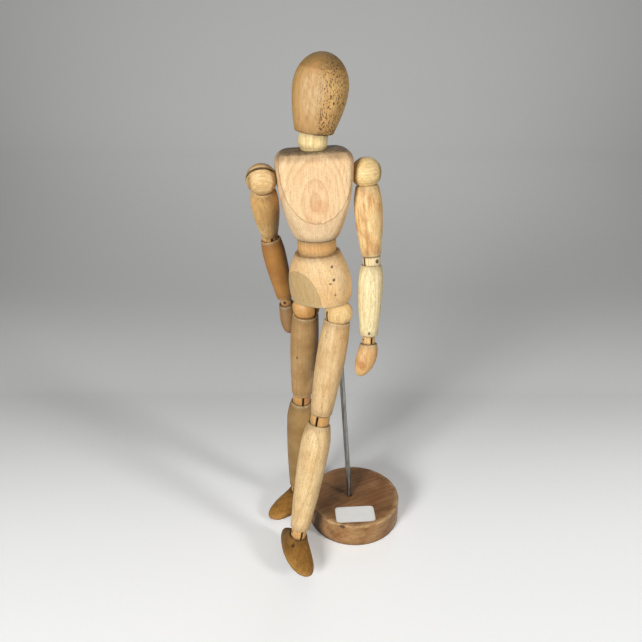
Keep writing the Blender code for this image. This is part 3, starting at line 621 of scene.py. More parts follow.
# limb: the socket for the lower peg, the turned outside from there up, and the cup for the upper peg
def limbRows(part, upper, lower, seed):
    edge = limbTurning["edge"]
    high, low = -upper["drop"], lower["rise"] - part["length"]
    down = easedSteps(high - low, edge, 90)
    t = np.clip(down / (high - low), 0, 1)
    r = limbRadius(t, upper["rim"], part["belly"] / 2, lower["collar"], part["bellyAt"])
    r = r - limbTurning["inset"] - endRounds(down, high - low, edge, edge)
    outer = unevenRows(turnedRows(np.column_stack((r, high - down))), limbTurning["uneven"], seed)
    bore, top = lower["spigot"] + gap, low + lower["tenon"] + gap
    socket = joined(linePath((0, top), (bore, top), 3), linePath((bore, top), (bore, low), 6)[1:])
    return joined(turnedRows(socket), outer[::-1], turnedRows(cupPath(upper)))


def limbMarks(upper, lower, length):
    rings = ((upper["rim"], -upper["drop"]), (lower["collar"], lower["rise"] - length))

    def marks(own):
        x, y, z = own.T
        inside = (np.hypot(x, y) < upper["mouth"] * 0.98) & (z > -upper["ball"] - 20)
        dirt = ringDirt(own, rings, (0.55, 0.8), (0.35, 5.0))
        return nearRings(own, rings, 1.8), most(dirt, inside * 0.95)
    return marks


for seed, (node, look) in enumerate(limbLooks.items()):
    word, side = node.rsplit("_", 1)
    part = limbCut[word]
    upper, lower = jointCut[part["upper"]], jointCut[part["lower"]]
    axes, place = pegFrame(part["upper"], side)
    axes = axesFrom(axes[:, 0], place - jointPlace(f"{part['lower']}_turn_{side}"))
    mesh = rowMesh(node, limbRows(part, upper, lower, seed))
    marks = limbMarks(upper, lower, part["length"])
    woodPiece(node, mesh, place, axes, look, marks, limbSpots.get(node, ()))
print("limbs turned:", len(limbLooks))


# Pegs and balls between the limbs

pegTurning = {"edge": 0.35, "ballInset": 0.16, "slotHalf": 0.78, "pinHole": 1.16, "ballPinPast": 4.7}
pegLook = {"pale": (238, 198, 134), "mid": (222, 172, 104), "grime": (58, 38, 22), "pith": (12, 9, 20),
           "ring": 2.2, "fleckShare": 0.35}
pegLooks = {
    "shoulder_left": {"pale": (250, 224, 162), "mid": (244, 212, 146)},
    "shoulder_right": {"pale": (240, 208, 152), "mid": (230, 194, 134)},
    "elbow_left": {"pale": (250, 236, 190), "mid": (244, 222, 168), "stainShare": 0.1},
    "wrist_right": {"pale": (206, 162, 104), "mid": (180, 136, 82)},
    "hip_right": {"pale": (226, 178, 112), "mid": (206, 152, 84)},
    "hip_left": {"pale": (246, 216, 156), "mid": (234, 198, 134)},
    "knee_left": {"pale": (228, 186, 122), "mid": (208, 160, 96)},
    "knee_right": {"pale": (214, 170, 108), "mid": (190, 142, 82)},
}
pegSpots = {
    "shoulder_right": [((9, 8, 0), (7.2, 9, 14), 0.6, (186, 132, 72), 0.3)],
    "elbow_left": [((7.2, 0, 0), (2.4, 2.2, 2.2), 0.9, darkMark, 0.5)],
    "wrist_right": [((-5.2, 0, 0), (2.0, 1.9, 1.9), 0.9, darkMark, 0.5)],
}


# peg or ball from its pole up: an arc round the joint centre, on a peg a straight band, then the tenon
def pegPath(cut):
    edge, spigot = pegTurning["edge"], cut["spigot"]
    if "peg" in cut:
        shoulder = cut["rise"] - gap
        dome = arcPath(cut["ball"], -quarter, -math.atan2(cut["drop"] + pegLip, cut["peg"]), 30)
        lip = dome[-1, 1]
        up = easedSteps(shoulder - lip, edge, 14)[1:]
        band = np.column_stack((cut["peg"] - quarterRound(shoulder - lip - up, edge), lip + up))
        band = joined(band, [(spigot, shoulder)])
    else:
        neck = math.asin(spigot / cut["ball"])
        dome = arcPath(cut["ball"] - pegTurning["ballInset"], -quarter, quarter - neck, 72)
        shoulder = dome[-1, 1]
        band = dome[-1:] + (0, 0.01)
    dome[0, 0] = 0
    top = shoulder + cut["tenon"]
    tenon = linePath((spigot, shoulder), (spigot, top), 5)[1:]
    return joined(dome, band, tenon, linePath((spigot, top), (0, top), 3)[1:])


def pegMarks(cut):
    def marks(own):
        aside, level = np.abs(own[:, 0]), own[:, 2]
        dirt = bell(level, -cut["drop"], 1.1) * 0.6
        if "peg" in cut:
            dirt = most(dirt, bell(level, cut["rise"], 1.0) * 0.8)
        half, end = pegTurning["slotHalf"], cut["slotEnd"]
        slot = np.exp(-np.maximum(aside - half, 0) / 0.35) * (level < end + 0.3)
        deep = (aside < half + 0.01) & (level < end + 0.01)
        return slot * 0.1, most(dirt, slot * 0.7, deep * 1.0)
    return marks


for kind, cut in jointCut.items():
    shape = "peg" if "peg" in cut else "ball"
    past = cut["ball"] + 1
    start = -past if shape == "peg" else -pegTurning["ballPinPast"] - gap
    for side in sideSign:
        joint = f"{kind}_{side}"
        axes, place = pegFrame(kind, side)
        pin = axes.T @ (np.mean(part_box(f"{kind}_pin_{side}"), axis=0) - place)
        way = (1, 0, 0) if shape == "peg" or pin[0] > 0 else (-1, 0, 0)
        mesh = carve(rowMesh(joint, turnedRows(pegPath(cut))), (
            slotCutter(pegTurning["slotHalf"], past, -past, cut["slotEnd"]),
            barCutter(pegTurning["pinHole"], start, past, axis=way)))
        look = {**pegLook, **pegLooks.get(joint, {})}
        woodPiece(f"{kind}_{shape}_{side}", mesh, place, axes, look, pegMarks(cut), pegSpots.get(joint, ()))
print("pegs and balls slotted:", 2 * len(jointCut))


# Waist and neck pegs

bodyPegCut = {
    "waist_peg": {"radius": 15, "rise": 6, "ball": math.hypot(15, 6), "spigot": 8, "tenon": 11, "edge": 0.6,
                  "turn": "waist_twist", "bend": "waist_bend", "mouth": 5.5},
    "neck_peg": {"radius": 10.7, "rise": 5.4, "ball": 11, "spigot": 7, "tenon": 10, "edge": 0.6,
                 "turn": "head_turn", "bend": "neck_bend", "mouth": 6.4},
}
springBore = 5.0
springMouth = {"radius": 7.0, "deep": 5.0}    # bores open out where two pieces rock on each other
anchor = {"hole": 1.5, "room": 5.4, "past": 3.3}    # pins across the bores, which hold the springs
bodyPegLooks = {
    "waist_peg": {"pale": (236, 194, 132), "mid": (218, 168, 104), "pith": (30, -18, 40), "ring": 2.4},
    "neck_peg": {"pale": (255, 240, 180), "mid": (254, 230, 166), "pith": (-20, 24, 10), "ring": 2.2},
}


# angle from level at which a round wall ends in the widened bore
def mouthAngle(radius):
    return -quarter + math.asin(springMouth["radius"] / radius)


# peg as (radius, height): round end, straight band and spigot, then back down the spring's bore
def bodyPegPath(cut):
    shoulder, top = cut["rise"] - gap, cut["rise"] - gap + cut["tenon"]
    lip = math.sqrt(cut["ball"] ** 2 - cut["radius"] ** 2)
    dome = arcPath(cut["ball"], mouthAngle(cut["ball"]), -math.atan2(lip, cut["radius"]), 40)
    up = easedSteps(shoulder + lip, cut["edge"], 24)[1:]
    band = np.column_stack((cut["radius"] - quarterRound(shoulder + lip - up, cut["edge"]), up - lip))
    return joined(dome, band, linePath((cut["spigot"], shoulder), (cut["spigot"], top), 6),
                  linePath((springBore, top), (springBore, dome[0, 1] + springMouth["deep"]), 6))


# hollow that such a peg rocks in, round a centre above its rim: cup, widened mouth, spring's bore
def hollowPath(ball, drop, centre, count):
    cup = ball + gap
    wall = arcPath(cup, -math.asin(drop / cup), mouthAngle(cup), count) + (0, centre)
    return joined(wall, [(springBore, wall[-1, 1] - springMouth["deep"])])


def anchorCutter(at, end):
    return barCutter(anchor["hole"], -springBore - anchor["past"], end, (0, 0, at), (0, 1, 0))


def bodyPegMarks(cut):
    rings = ((cut["radius"], cut["rise"] - gap), (cut["radius"] + 0.4, -cut["mouth"]))
    return lambda own: (0.4 * nearRings(own, rings[:1], 2.0), ringDirt(own, rings, (0.9, 1.0), (0.5, 3.0)))


for node, cut in bodyPegCut.items():
    axes, place = axesFrom(jointAxis(cut["bend"]), jointAxis(cut["turn"])), jointPlace(cut["turn"])
    mesh = rowMesh(node, turnedRows(bodyPegPath(cut), 128), loop=True)
    woodPiece(node, mesh, place, axes, bodyPegLooks[node], bodyPegMarks(cut))


# Pelvis

pelvisCut = {
    "height": 41, "width": 52, "depth": 38, "wall": 1.4, "square": 2.3, "edge": 1.4, "rimEdge": 0.9,
    "swells": ((0, 0.72), (0.03, 0.78), (0.14, 0.94), (0.28, 1), (0.45, 0.98), (0.65, 0.78), (0.86, 0.33),
               (1, 0)),
    "waistDrop": 5.5, "hipHalf": 15.5, "hipDrop": 9.5, "rodAt": (6, 14), "rodIn": 24, "anchorAt": 17,
    "uneven": (0.15, 31), "rimAt": 17.3,
}
pelvisLook = {"pale": (239, 207, 155), "mid": (228, 190, 134), "dark": (170, 120, 68), "pith": (-34, 6, -30),
              "reach": 0.6, "ring": 4.6, "ringShare": 0.2, "stainShare": 0.2}
# greyer patch with a darker rim over the pelvis's right front: painted shadow of the right forearm
pelvisPaintedShadow = [
    ((-8, -12, 2), (19.9, 30.5, 27.5), 0.6, (140, 104, 64), 0.03),
    ((-8, -12, 2), (19.5, 30, 27), 1.0, (192, 168, 119), 0.03),
]
pelvisSpots = [
    ((18.1, -9.7, 33.2), (1.0, 2, 1.3), 0.9, darkMark, 0.5),
    ((20.4, -11.8, 23.7), (1.2, 2, 1.6), 0.9, darkMark, 0.5),
    ((18.3, -13.8, 20.9), (1.5, 2, 1.1), 0.8, darkMark, 0.6),
    ((21.1, -12.3, 11.6), (0.8, 2, 1.4), 0.7, darkMark, 0.5),
]
rodHole = 2.55
rimSlack = math.cos(math.pi / 20) * math.cos(math.radians(10))
waistBall = bodyPegCut["waist_peg"]["ball"]
waistCentre = pelvisCut["height"] + pelvisCut["waistDrop"]
hipCentres = [(sign * pelvisCut["hipHalf"], 0, -pelvisCut["hipDrop"]) for sign in sideSign.values()]
pelvisAxes = axesFrom(np.cross(jointAxis("waist_side"), jointAxis("rod_turn")), jointAxis("rod_turn"))
pelvisPlace = jointPlace("waist_side") - waistCentre * mm * pelvisAxes[:, 2]


# pelvis: rings from a flattened oval below to the round rim of the waist cup, then down into the cup
def pelvisRows():
    cut = pelvisCut
    rim = math.sqrt(((waistBall + gap) / rimSlack) ** 2 - cut["waistDrop"] ** 2) + cut["wall"]
    t = joined(np.linspace(0, 0.06, 9)[:-1], np.linspace(0.06, 0.97, 80), np.linspace(0.97, 1, 7)[1:])
    swell = smoothCurve(t, cut["swells"])
    ease = quarterRound(t * cut["height"], cut["edge"])
    ease = ease + quarterRound((1 - t) * cut["height"], cut["rimEdge"])
    halfX, halfY = (rim + (cut[size] / 2 - rim) * swell - ease for size in ("width", "depth"))
    x, y = squareRing(halfX, halfY, 2 + (cut["square"] - 2) * np.maximum(swell, 0), 144)
    outer = unevenRows(ringRows(x, y, t * cut["height"]), *cut["uneven"])
    under = outer[:1] * np.array((0, 0.35, 0.7))[:, None, None]
    floor = cut["anchorAt"] - anchor["room"]
    inside = joined(hollowPath(waistBall, cut["waistDrop"], waistCentre, 24),
                    linePath((springBore, floor), (0, floor), 3))
    return joined(under, outer, turnedRows(inside, 144))


# socket of a ball: its round wall and the bore for its tenon
def socketCutter(cut, place, axis):
    bore = cut["spigot"] + gap
    wall = arcPath(cut["cup"], -quarter, quarter - math.asin(bore / cut["cup"]), 60)
    wall[0, 0] = 0
    top = cut["ball"] * math.cos(math.asin(cut["spigot"] / cut["ball"])) + cut["tenon"] + gap
    return turnedCutter(joined(wall, [(bore, top), (0, top)]), place, axis, 96)


def pelvisMarks(own):
    rim = ringDirt(own, ((pelvisCut["rimAt"], pelvisCut["height"]),), (0.9, 1.1), (0.5, 3.5))
    hips = wallDirt(own, hipCentres, jointCut["hip"]["cup"], 0.85, 1.3)
    z = own[:, 2]
    return 0.6 * bell(z, 1.2, 1.5), most(rim, hips, 0.35 * (1 - rise(z, 0, 3)))


mesh = carve(rowMesh("pelvis", pelvisRows()), [
    *(socketCutter(jointCut["hip"], centre, (0, 0, 1)) for centre in hipCentres),
    barCutter(rodHole, -2, pelvisCut["rodIn"] + gap, (*pelvisCut["rodAt"], 0)),
    anchorCutter(pelvisCut["anchorAt"], pelvisCut["depth"] / 2 + 1)])
woodPiece("pelvis", mesh, pelvisPlace, pelvisAxes, pelvisLook, pelvisMarks, pelvisSpots, pelvisPaintedShadow)


# Chest

chestCut = {
    "height": 66, "width": 58, "depth": 32, "turnedDepth": 42, "foot": 16.2, "round": 9, "square": 3,
    "edge": 0.8, "squareAt": 0.5, "widestAt": 0.88, "deepestAt": 0.6, "flare": 0.72, "shoulderAt": 46.5,
    "seat": 1.2, "neckDrop": 6.4, "spigotIn": 11, "anchorAt": 31, "ridge": 1.6, "ridgeTop": 58,
    "rimAt": 9.6, "rims": (1.4, 0.35), "uneven": (0.15, 32),
}
# the grey grime at a high share also paints shade on the chest's top
chestLook = {"pale": (232, 206, 164), "mid": (220, 192, 150), "dark": (186, 134, 90), "grime": (88, 76, 54),
             "stain": (214, 164, 112), "pith": (0.5, -4, 33), "reach": 0.62, "ring": 3.6, "ringShare": 0.32,
             "wander": 5.0, "stainShare": 0.3, "grimeShare": 0.95}
chestGrounds = [
    ((0, -14, 56), (27.8, 26, 42.8), 0.65, (136, 94, 56), 0.03),
    ((0, -14, 56), (27.1, 25.5, 42.0), 1.0, (243, 210, 162), 0.03),
    ((1, -14, 27), (9, 20, 8), 0.6, (226, 172, 124), 0.6),
    ((3, -14, 43), (14, 20, 14), 0.35, (230, 182, 138), 0.8),
]
chestSpots = [((15, -12, 62.5), (9, 9, 4.2), 0.5, (140, 102, 58), 0.8)]
chestAxes = axesFrom(np.cross(jointAxis("neck_side"), jointAxis("waist_twist")), jointAxis("waist_twist"))
chestPlace = jointPlace("waist_twist") + bodyPegCut["waist_peg"]["rise"] * mm * chestAxes[:, 2]


# chest half sizes before planing: from the foot out by a sine, the width's sine raised to the flare
def chestHalves(h):
    cut = chestCut
    wide = np.sin(quarter * np.clip(h / cut["height"] / cut["widestAt"], 0, 1)) ** cut["flare"]
    deep = np.sin(quarter * np.clip(h / cut["height"] / cut["deepestAt"], 0, 1))
    return (cut["foot"] + (cut["width"] / 2 - cut["foot"]) * wide,
            cut["foot"] + (cut["turnedDepth"] / 2 - cut["foot"]) * deep)


# chest: squared ovals planed flat before and behind, rounded over at the top, with a bore from neck to waist
def chestRows():
    cut = chestCut
    straight = cut["height"] - cut["round"]
    low = joined(easedStart(cut["edge"], 7), np.linspace(cut["edge"], straight, 90)[1:])
    bend = np.linspace(0, quarter, 26)[1:]
    h = joined(low, straight + cut["round"] * np.sin(bend))
    inset = joined(np.zeros(len(low)), cut["round"] * (1 - np.cos(bend)))
    halfX, halfY = chestHalves(h)
    square = 2 + (cut["square"] - 2) * np.clip(h / straight / cut["squareAt"], 0, 1)
    ease = quarterRound(h, cut["edge"])
    x, y = squareRing(halfX - inset - ease, halfY - inset / 2 - ease, square, 192)
    planed = np.reshape(cut["depth"] / 2 - inset / 2, (-1, 1))
    y = np.sign(y) * smoothMin(np.abs(y), planed, cut["ridge"])
    outer = unevenRows(ringRows(x, y, h), *cut["uneven"])
    neck = bodyPegCut["neck_peg"]["ball"]
    hollow = hollowPath(neck, cut["neckDrop"], cut["height"] + cut["neckDrop"], 22)
    spigot = bodyPegCut["waist_peg"]["spigot"] + gap
    inside = joined([(hollow[0, 0] + wide, cut["height"]) for wide in cut["rims"]], hollow,
                    linePath((springBore, cut["spigotIn"]), (spigot, cut["spigotIn"]), 3),
                    linePath((spigot, cut["spigotIn"]), (spigot, 0), 5)[1:])
    return joined(outer, turnedRows(inside, 192))


shoulderReach = float(chestHalves(np.array(chestCut["shoulderAt"]))[0])
shoulderReach += jointCut["shoulder"]["ball"] - chestCut["seat"]
shoulderCentres = [(sign * shoulderReach, 0, chestCut["shoulderAt"]) for sign in sideSign.values()]


# ridge round the planed front: turned depth at that place less the planed depth is nought there
def chestMarks(own):
    x, y, z = own.T
    halfX, halfY = chestHalves(z)
    share = np.clip(1 - np.abs(x / halfX) ** 3, 0, 1)
    ridge = bell(halfY * share ** (1 / 3), chestCut["depth"] / 2, 1.3) * (z < chestCut["ridgeTop"])
    # darker top band: partly dirt, partly painted shade for the dim top
    top = 0.4 * rise(z, 58.5, 4) + 0.45 * rise(z, 63.6, 1.6)
    foot = ringDirt(own, ((chestCut["foot"], 0),), (0.9, 1.2), (0.5, 3.5))
    sockets = wallDirt(own, shoulderCentres, jointCut["shoulder"]["cup"], 0.8, 1.2)
    rim = ringDirt(own, ((chestCut["rimAt"], chestCut["height"]),), (0.9, 1.4))
    return ridge * 0.5, most(foot, sockets, rim, top)


mesh = carve(rowMesh("chest", chestRows(), loop=True), [
    *(socketCutter(jointCut["shoulder"], centre, (-np.sign(centre[0]), 0, 0)) for centre in shoulderCentres),
    anchorCutter(chestCut["anchorAt"], chestCut["depth"] / 2 + 1)])
woodPiece("chest", mesh, chestPlace, chestAxes, chestLook, chestMarks, chestSpots, chestGrounds)


# Head

headCut = {
    "height": 53.75, "width": 39.5, "foot": 14, "face": 14, "brow": 18, "back": 29, "fullestAt": 0.56,
    "square": 2.15, "turn": -22, "anchorAt": 27, "spigotIn": 10, "ridge": 3.5, "start": 0.012, "edge": 0.65,
    "uneven": (0.12, 33),
}
headLook = {"pale": (206, 168, 108), "mid": (186, 146, 88), "dark": (140, 96, 50), "fleck": (66, 38, 14),
            "pith": (-26, 20, 10), "reach": 0.25, "ring": 3.4, "ringShare": 0.25, "fleckShare": 0.92,
            "soilShare": 0.6, "fleckFrom": 0.56, "fleckWay": (1, 0, 0.06), "fleckBand": (1, 10),
            "fleckGrain": (1.3, 1.3, 0.6), "roughness": 0.58}
headGrounds = [
    ((-6, -14, 19), (18, 22, 30.6), 0.4, (140, 98, 54), 0.06),
    ((-6, -14, 19), (17.4, 22, 29.8), 0.9, (192, 154, 96), 0.14),
    # paler patch over the right side: painted light that lifts the shaded right side
    ((22, -4, 20), (17, 26, 34), 0.7, (238, 194, 122), 0.5),
    # the crown is darker towards the top
    ((0, 4, 57), (26, 32, 18.2), 0.45, (124, 88, 46), 0.05),
    ((0, 4, 57), (26, 32, 17.5), 0.7, (158, 134, 82), 0.25),
]
headAxes = turnAxes(axesFrom(jointAxis("neck_bend"), jointAxis("head_turn")), headCut["turn"], "Z")
headPlace = jointPlace("head_turn") + bodyPegCut["neck_peg"]["rise"] * mm * headAxes[:, 2]


# head: an egg, fuller behind, whose front is planed flat; bore and spigot hole below
def headRows():
    cut = headCut
    t, up, over = eggSteps(cut["start"], cut["fullestAt"], (7, 50, 60))
    side, brow, back = (cut["foot"] + (full - cut["foot"]) * up
                        for full in (cut["width"] / 2, cut["brow"], cut["back"]))
    ease = quarterRound(t * cut["height"], cut["edge"])
    x, y = squareRing(side * over - ease, (brow + back) / 2 * over - ease, cut["square"], 160)
    y = y + np.reshape((back - brow) / 2, (-1, 1))
    y = -smoothMin(-y, cut["face"], cut["ridge"])
    outer = unevenRows(ringRows(x, y, t * cut["height"]), *cut["uneven"])
    boreTop = cut["anchorAt"] + anchor["room"]
    spigot = bodyPegCut["neck_peg"]["spigot"] + gap
    inside = joined(linePath((0, boreTop), (springBore, boreTop), 3),
                    linePath((springBore, boreTop), (springBore, cut["spigotIn"]), 6)[1:],
                    linePath((spigot, cut["spigotIn"]), (spigot, 0), 5))
    return joined(turnedRows(inside, 160), outer)


def headMarks(own):
    dirt = ringDirt(own, ((headCut["foot"], 0),), (0.8, 1.2), (0.4, 4.0))
    x, y, z = own.T
    face = 1 - rise(np.abs(y + headCut["face"]), 0, 0.25)
    # besides the dirt ring at the foot, the head darkens towards the top of the crown
    return face * 0.5, most(dirt, 0.3 * rise(z, 46, 8))


mesh = carve(rowMesh("head", headRows()), [anchorCutter(headCut["anchorAt"], headCut["back"] + 1)])
woodPiece("head", mesh, headPlace, headAxes, headLook, headMarks, grounds=headGrounds)
print("waist, pelvis, chest, neck and head made")


# Hands and feet

handCut = {"length": 30, "width": 17.5, "thick": 14.5, "lean": 7, "bellyAt": 0.45, "start": 0.03, "edge": 0.8,
           "bend": {"left": 4, "right": 3}}
handLooks = {
    "left": {"pale": (242, 204, 144), "mid": (222, 174, 112), "pith": (16, 20, 10), "ring": 2.2,
             "stainShare": 0.5},
    "right": {"pale": (168, 136, 94), "mid": (136, 108, 70), "pith": (16, -20, 10), "ring": 2.2,
              "stainShare": 0.5},
}
handSpots = {"left": [((8.6, 3.9, -19.5), (3.2, 6, 4.6), 0.75, (178, 114, 52), 0.5)], "right": []}
footCut = {
    "length": 60.4, "width": 22.6, "height": 16.9, "heel": 22, "taper": 0.2, "soleEdge": 1.0, "rimEdge": 0.6,
    "shrinks": ((0, 0.08), (0.1, 0), (0.32, 0.1), (0.55, 0.42), (0.78, 0.8), (0.95, 1), (1, 1)),
    "aside": {"left": -3, "right": 0}, "bend": {"left": 5, "right": -2.5},
}
footLook = {"pale": (190, 146, 76), "mid": (160, 114, 52), "dark": (98, 62, 22), "grime": (52, 34, 14),
            "rubbed": (196, 144, 68), "stain": (112, 76, 30), "stainShare": 0.6, "pith": (8, 30, 20),
            "ring": 2.4, "ringShare": 0.4, "streakShare": 0.45, "lay": (quarter, 0, 0)}
footLooks = {"left": footLook, "right": footLook}
footSpots = {"left": [((-8.0, -10.1, -7.0), (2.3, 2.3, 3), 0.8, (40, 24, 10), 0.6)], "right": []}


# hand: flattened egg that swells from the cup's rim by a sine and closes by a circle, leaning to the thumb
def handRows(side, cut):
    part, high, rim = handCut, -cut["drop"], cut["rim"]
    t, up, over = eggSteps(part["start"], part["bellyAt"], (8, 36, 44))
    ease = quarterRound(t * (part["length"] + high), part["edge"])
    halfX, halfY = ((rim + (part[size] / 2 - rim) * up) * over - ease for size in ("width", "thick"))
    x, y = squareRing(halfX, halfY, 2.0, 96)
    x = x + np.reshape(sideSign[side] * part["lean"] * t ** 1.5, (-1, 1))
    return joined(turnedRows(cupPath(cut)[::-1]), ringRows(x, y, high - (part["length"] + high) * t))


# foot: egg-shaped sole, broader at the toe, drawn in to the ankle's round rim by the shrink at each height
def footRows(side, cut):
    part, top = footCut, -cut["drop"]
    tall = top + part["height"]
    t = joined(np.linspace(0, 0.12, 10)[:-1], np.linspace(0.12, 0.95, 46),
               1 - 0.05 * np.cos(np.linspace(0, quarter, 8)[1:]))
    shrink = np.clip(smoothCurve(t, part["shrinks"]), 0, 1)[:, None]
    a = ringAngles(128)
    soleX = part["aside"][side] + part["width"] / 2 * (1 - part["taper"] * np.sin(a)) * np.cos(a)
    soleY = part["heel"] - part["length"] / 2 + part["length"] / 2 * np.sin(a)
    rim = cut["rim"] - quarterRound((1 - t) * tall, part["rimEdge"])[:, None]
    low = quarterRound(t * tall, part["soleEdge"])[:, None]
    x = soleX * (1 - shrink) * (1 - low / 14) + rim * np.cos(a) * shrink
    y = soleY * (1 - shrink) + rim * np.sin(a) * shrink + low * np.sin(a) * -0.6
    outer = ringRows(x, y, -part["height"] + tall * t)
    middle = outer[:1].mean(1, keepdims=True)
    under = middle + (outer[:1] - middle) * np.array((0, 0.4, 0.8))[:, None, None]
    return joined(under, outer, turnedRows(cupPath(cut), 128))


def endMarks(cut):
    rings = ((cut["rim"], -cut["drop"]),)

    def marks(own):
        x, y, z = own.T
        wall = (np.hypot(x, y) < cut["mouth"] * 0.98) & (z > 0.4 - cut["cup"])
        dirt = ringDirt(own, rings, (0.9, 1.1), (0.4, 4.0))
        return nearRings(own, rings, 2.0), most(dirt, 0.6 * wall)
    return marks


def footMarks(cut):
    def marks(own):
        rim, dirt = endMarks(cut)(own)
        x, y, z = own.T
        under = 1 - rise(z, -footCut["height"], 3)
        return most(0.3 * rim, 0.9 * rise(-y, 8, 26)), most(dirt, 0.8 * under, 0.45 * rise(y, -14, 18))
    return marks


for word, kind, part, rows, looks, spots, marks in (
        ("hand", "wrist", handCut, handRows, handLooks, handSpots, endMarks),
        ("foot", "ankle", footCut, footRows, footLooks, footSpots, footMarks)):
    for side in sideSign:
        axes, place = pegFrame(kind, side)
        axes = turnAxes(axes, part["bend"][side], "X")
        mesh = rowMesh(word, rows(side, jointCut[kind]))
        woodPiece(f"{word}_{side}", mesh, place, axes, looks[side], marks(jointCut[kind]), spots[side])
print("hands and feet made")


# Base, rod and label

baseCut = {"radius": 42.85, "thick": 23, "edge": 1.5, "rodIn": 17, "uneven": (0.2, 34)}
baseLook = {"pale": (172, 124, 76), "mid": (140, 96, 54), "dark": (88, 56, 28), "fleck": (58, 36, 18),
            "grime": (46, 28, 14), "rubbed": (204, 166, 116), "rubShare": 0.9, "stain": (160, 98, 48),
            "pith": (46, 6, 30), "reach": 0.25, "ring": 4.2, "ringShare": 0.38, "streakShare": 0.42,
            "wander": 7.0, "patch": 0.13, "lay": (quarter, -1.1, 0)}
baseSpots = [((-12.5, -41.1, 21.6), (4.2, 2.5, 1.6), 0.9, (48, 30, 16), 0.5)]
rodCut = {"radius": 2.25, "inBase": 17, "edge": 0.5}
rodLook = {"marks": (900, 900, 30), "dark": (118, 117, 114), "pale": (164, 163, 159), "tarnish": (92, 84, 74),
           "tarnishShare": 0.3, "roughness": 0.3}
rodAxes = axesFrom(np.array((1.0, 0, 0)), jointAxis("rod_turn"))
rodPlace = jointPlace("rod_turn")


# base: low round block, both edges eased by a quarter round
def baseRows():
    cut = baseCut
    up = easedSteps(cut["thick"], cut["edge"], 20)
    side = np.column_stack((cut["radius"] - endRounds(up, cut["thick"], cut["edge"], cut["edge"]), up))
    path = joined(linePath((0, 0), side[0], 8)[:-1], side, linePath(side[-1], (0, cut["thick"]), 14)[1:])
    return unevenRows(turnedRows(path, 256), *cut["uneven"])


def baseMarks(own):
    top, bottom = (((baseCut["radius"], height),) for height in (baseCut["thick"], 0))
    x, y, z = own.T
    hole = np.linalg.norm(own - rodPlace / mm, axis=1)
    dirt = most(0.8 * bell(hole, 0, 4.5), 0.4 * bell(hole, 0, 9))
    # the whole side is lighter than the top: partly wear, partly painted light for the side that faces the lamps
    # while the top stays dim
    side = rise(np.hypot(x, y), baseCut["radius"] - 2.2, 1.6)
    front = 0.5 - 0.5 * np.sin(np.arctan2(y, x) - 0.6)
    edgeWear = np.minimum(nearRings(own, top, 3.0) * (0.5 + 1.2 * front), 1)
    return most(0.5 * side, edgeWear), most(dirt, 0.6 * nearRings(own, bottom, 3.0))


# rod: straight bar with rounded ends, from its seat in the base to its end in the pelvis
def rodRows():
    cut = rodCut
    end = pelvisPlace + pelvisAxes @ np.array((*pelvisCut["rodAt"], pelvisCut["rodIn"])) * mm
    along = easedSteps(float((end - rodPlace) @ rodAxes[:, 2]) / mm + cut["inBase"], cut["edge"], 60)
    r = cut["radius"] - endRounds(along, along[-1], cut["edge"], cut["edge"])
    path = joined([(0, 0)], np.column_stack((r, along)), [(0, along[-1])]) - (0, cut["inBase"])
    return turnedRows(path, 64)


mesh = carve(rowMesh("base", baseRows()), [
    barCutter(rodHole, -baseCut["rodIn"] - gap, 6, rodPlace / mm, jointAxis("rod_turn"))])
woodPiece("base", mesh, np.zeros(3), np.eye(3), baseLook, baseMarks, baseSpots)
setPiece("rod", rowMesh("rod", rodRows()), rodPlace, rodAxes, steelFinish("rodSteel", rodLook))

labelCut = {"half": (18, 10), "square": 9.0, "thick": 0.12, "place": (0, -26.7), "turn": 4.0, "lift": 0.35,
            "glue": 0.03, "sides": 160, "shares": (0, 0.3, 0.6, 0.85, 0.97, 1.0)}
labelLook = {"pale": (252, 252, 249), "mid": (246, 246, 241), "soiled": (222, 216, 202), "soiledShare": 0.3,
             "fibre": (2200, 2200, 2200), "cloud": (120, 120, 120)}


# paper: white with faint fibres and a soiled edge
def paperFinish(name, look):
    made, shader, bench = newFinish(name)
    seen = bench.objectPlace()
    fibre = seen.noise(look["fibre"], 4.0, 0.7)
    cloud = seen.noise(look["cloud"], 3.0, 0.5).ramp(0.35, 0.75) * 0.6
    colour = cloud.between(look["pale"], look["mid"])
    colour = colour.towards(look["soiled"], bench.attribute("edge") * look["soiledShare"])
    wireUp(shader, {"Base Color": colour, "Roughness": 0.55 + fibre * 0.2, "Normal": fibre.bump(0.08, 0.05)})
    return made


# label: thin rounded oblong whose corners lift a little off the wood
def labelPiece():
    cut = labelCut
    shares, (halfX, halfY) = np.array(cut["shares"]), cut["half"]
    x, y = squareRing(shares * halfX, shares * halfY, cut["square"], cut["sides"])
    lift = cut["lift"] * (np.abs(x) / halfX) ** 6 * (np.abs(y) / halfY) ** 4 + cut["glue"]
    rows = joined(np.stack((x, y, lift), 2), np.stack((x, y, lift + cut["thick"]), 2)[::-1])
    rows = rows @ turnAxes(np.eye(3), cut["turn"], "Z").T + (*cut["place"], baseCut["thick"])
    mesh = rowMesh("label", rows * mm)
    around = np.repeat(shares[1:], cut["sides"])
    setAttribute(mesh, "edge", joined([0], around, around[::-1], [0]) ** 12)
    mesh.shade_smooth()
    mesh.set_sharp_from_angle(angle=crease)
    mesh.materials.append(paperFinish("labelPaper", labelLook))
    piece = newObject("label", mesh)
    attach(piece, "base")


labelPiece()
print("base, rod and label made")


# Steel fittings kept from the solids

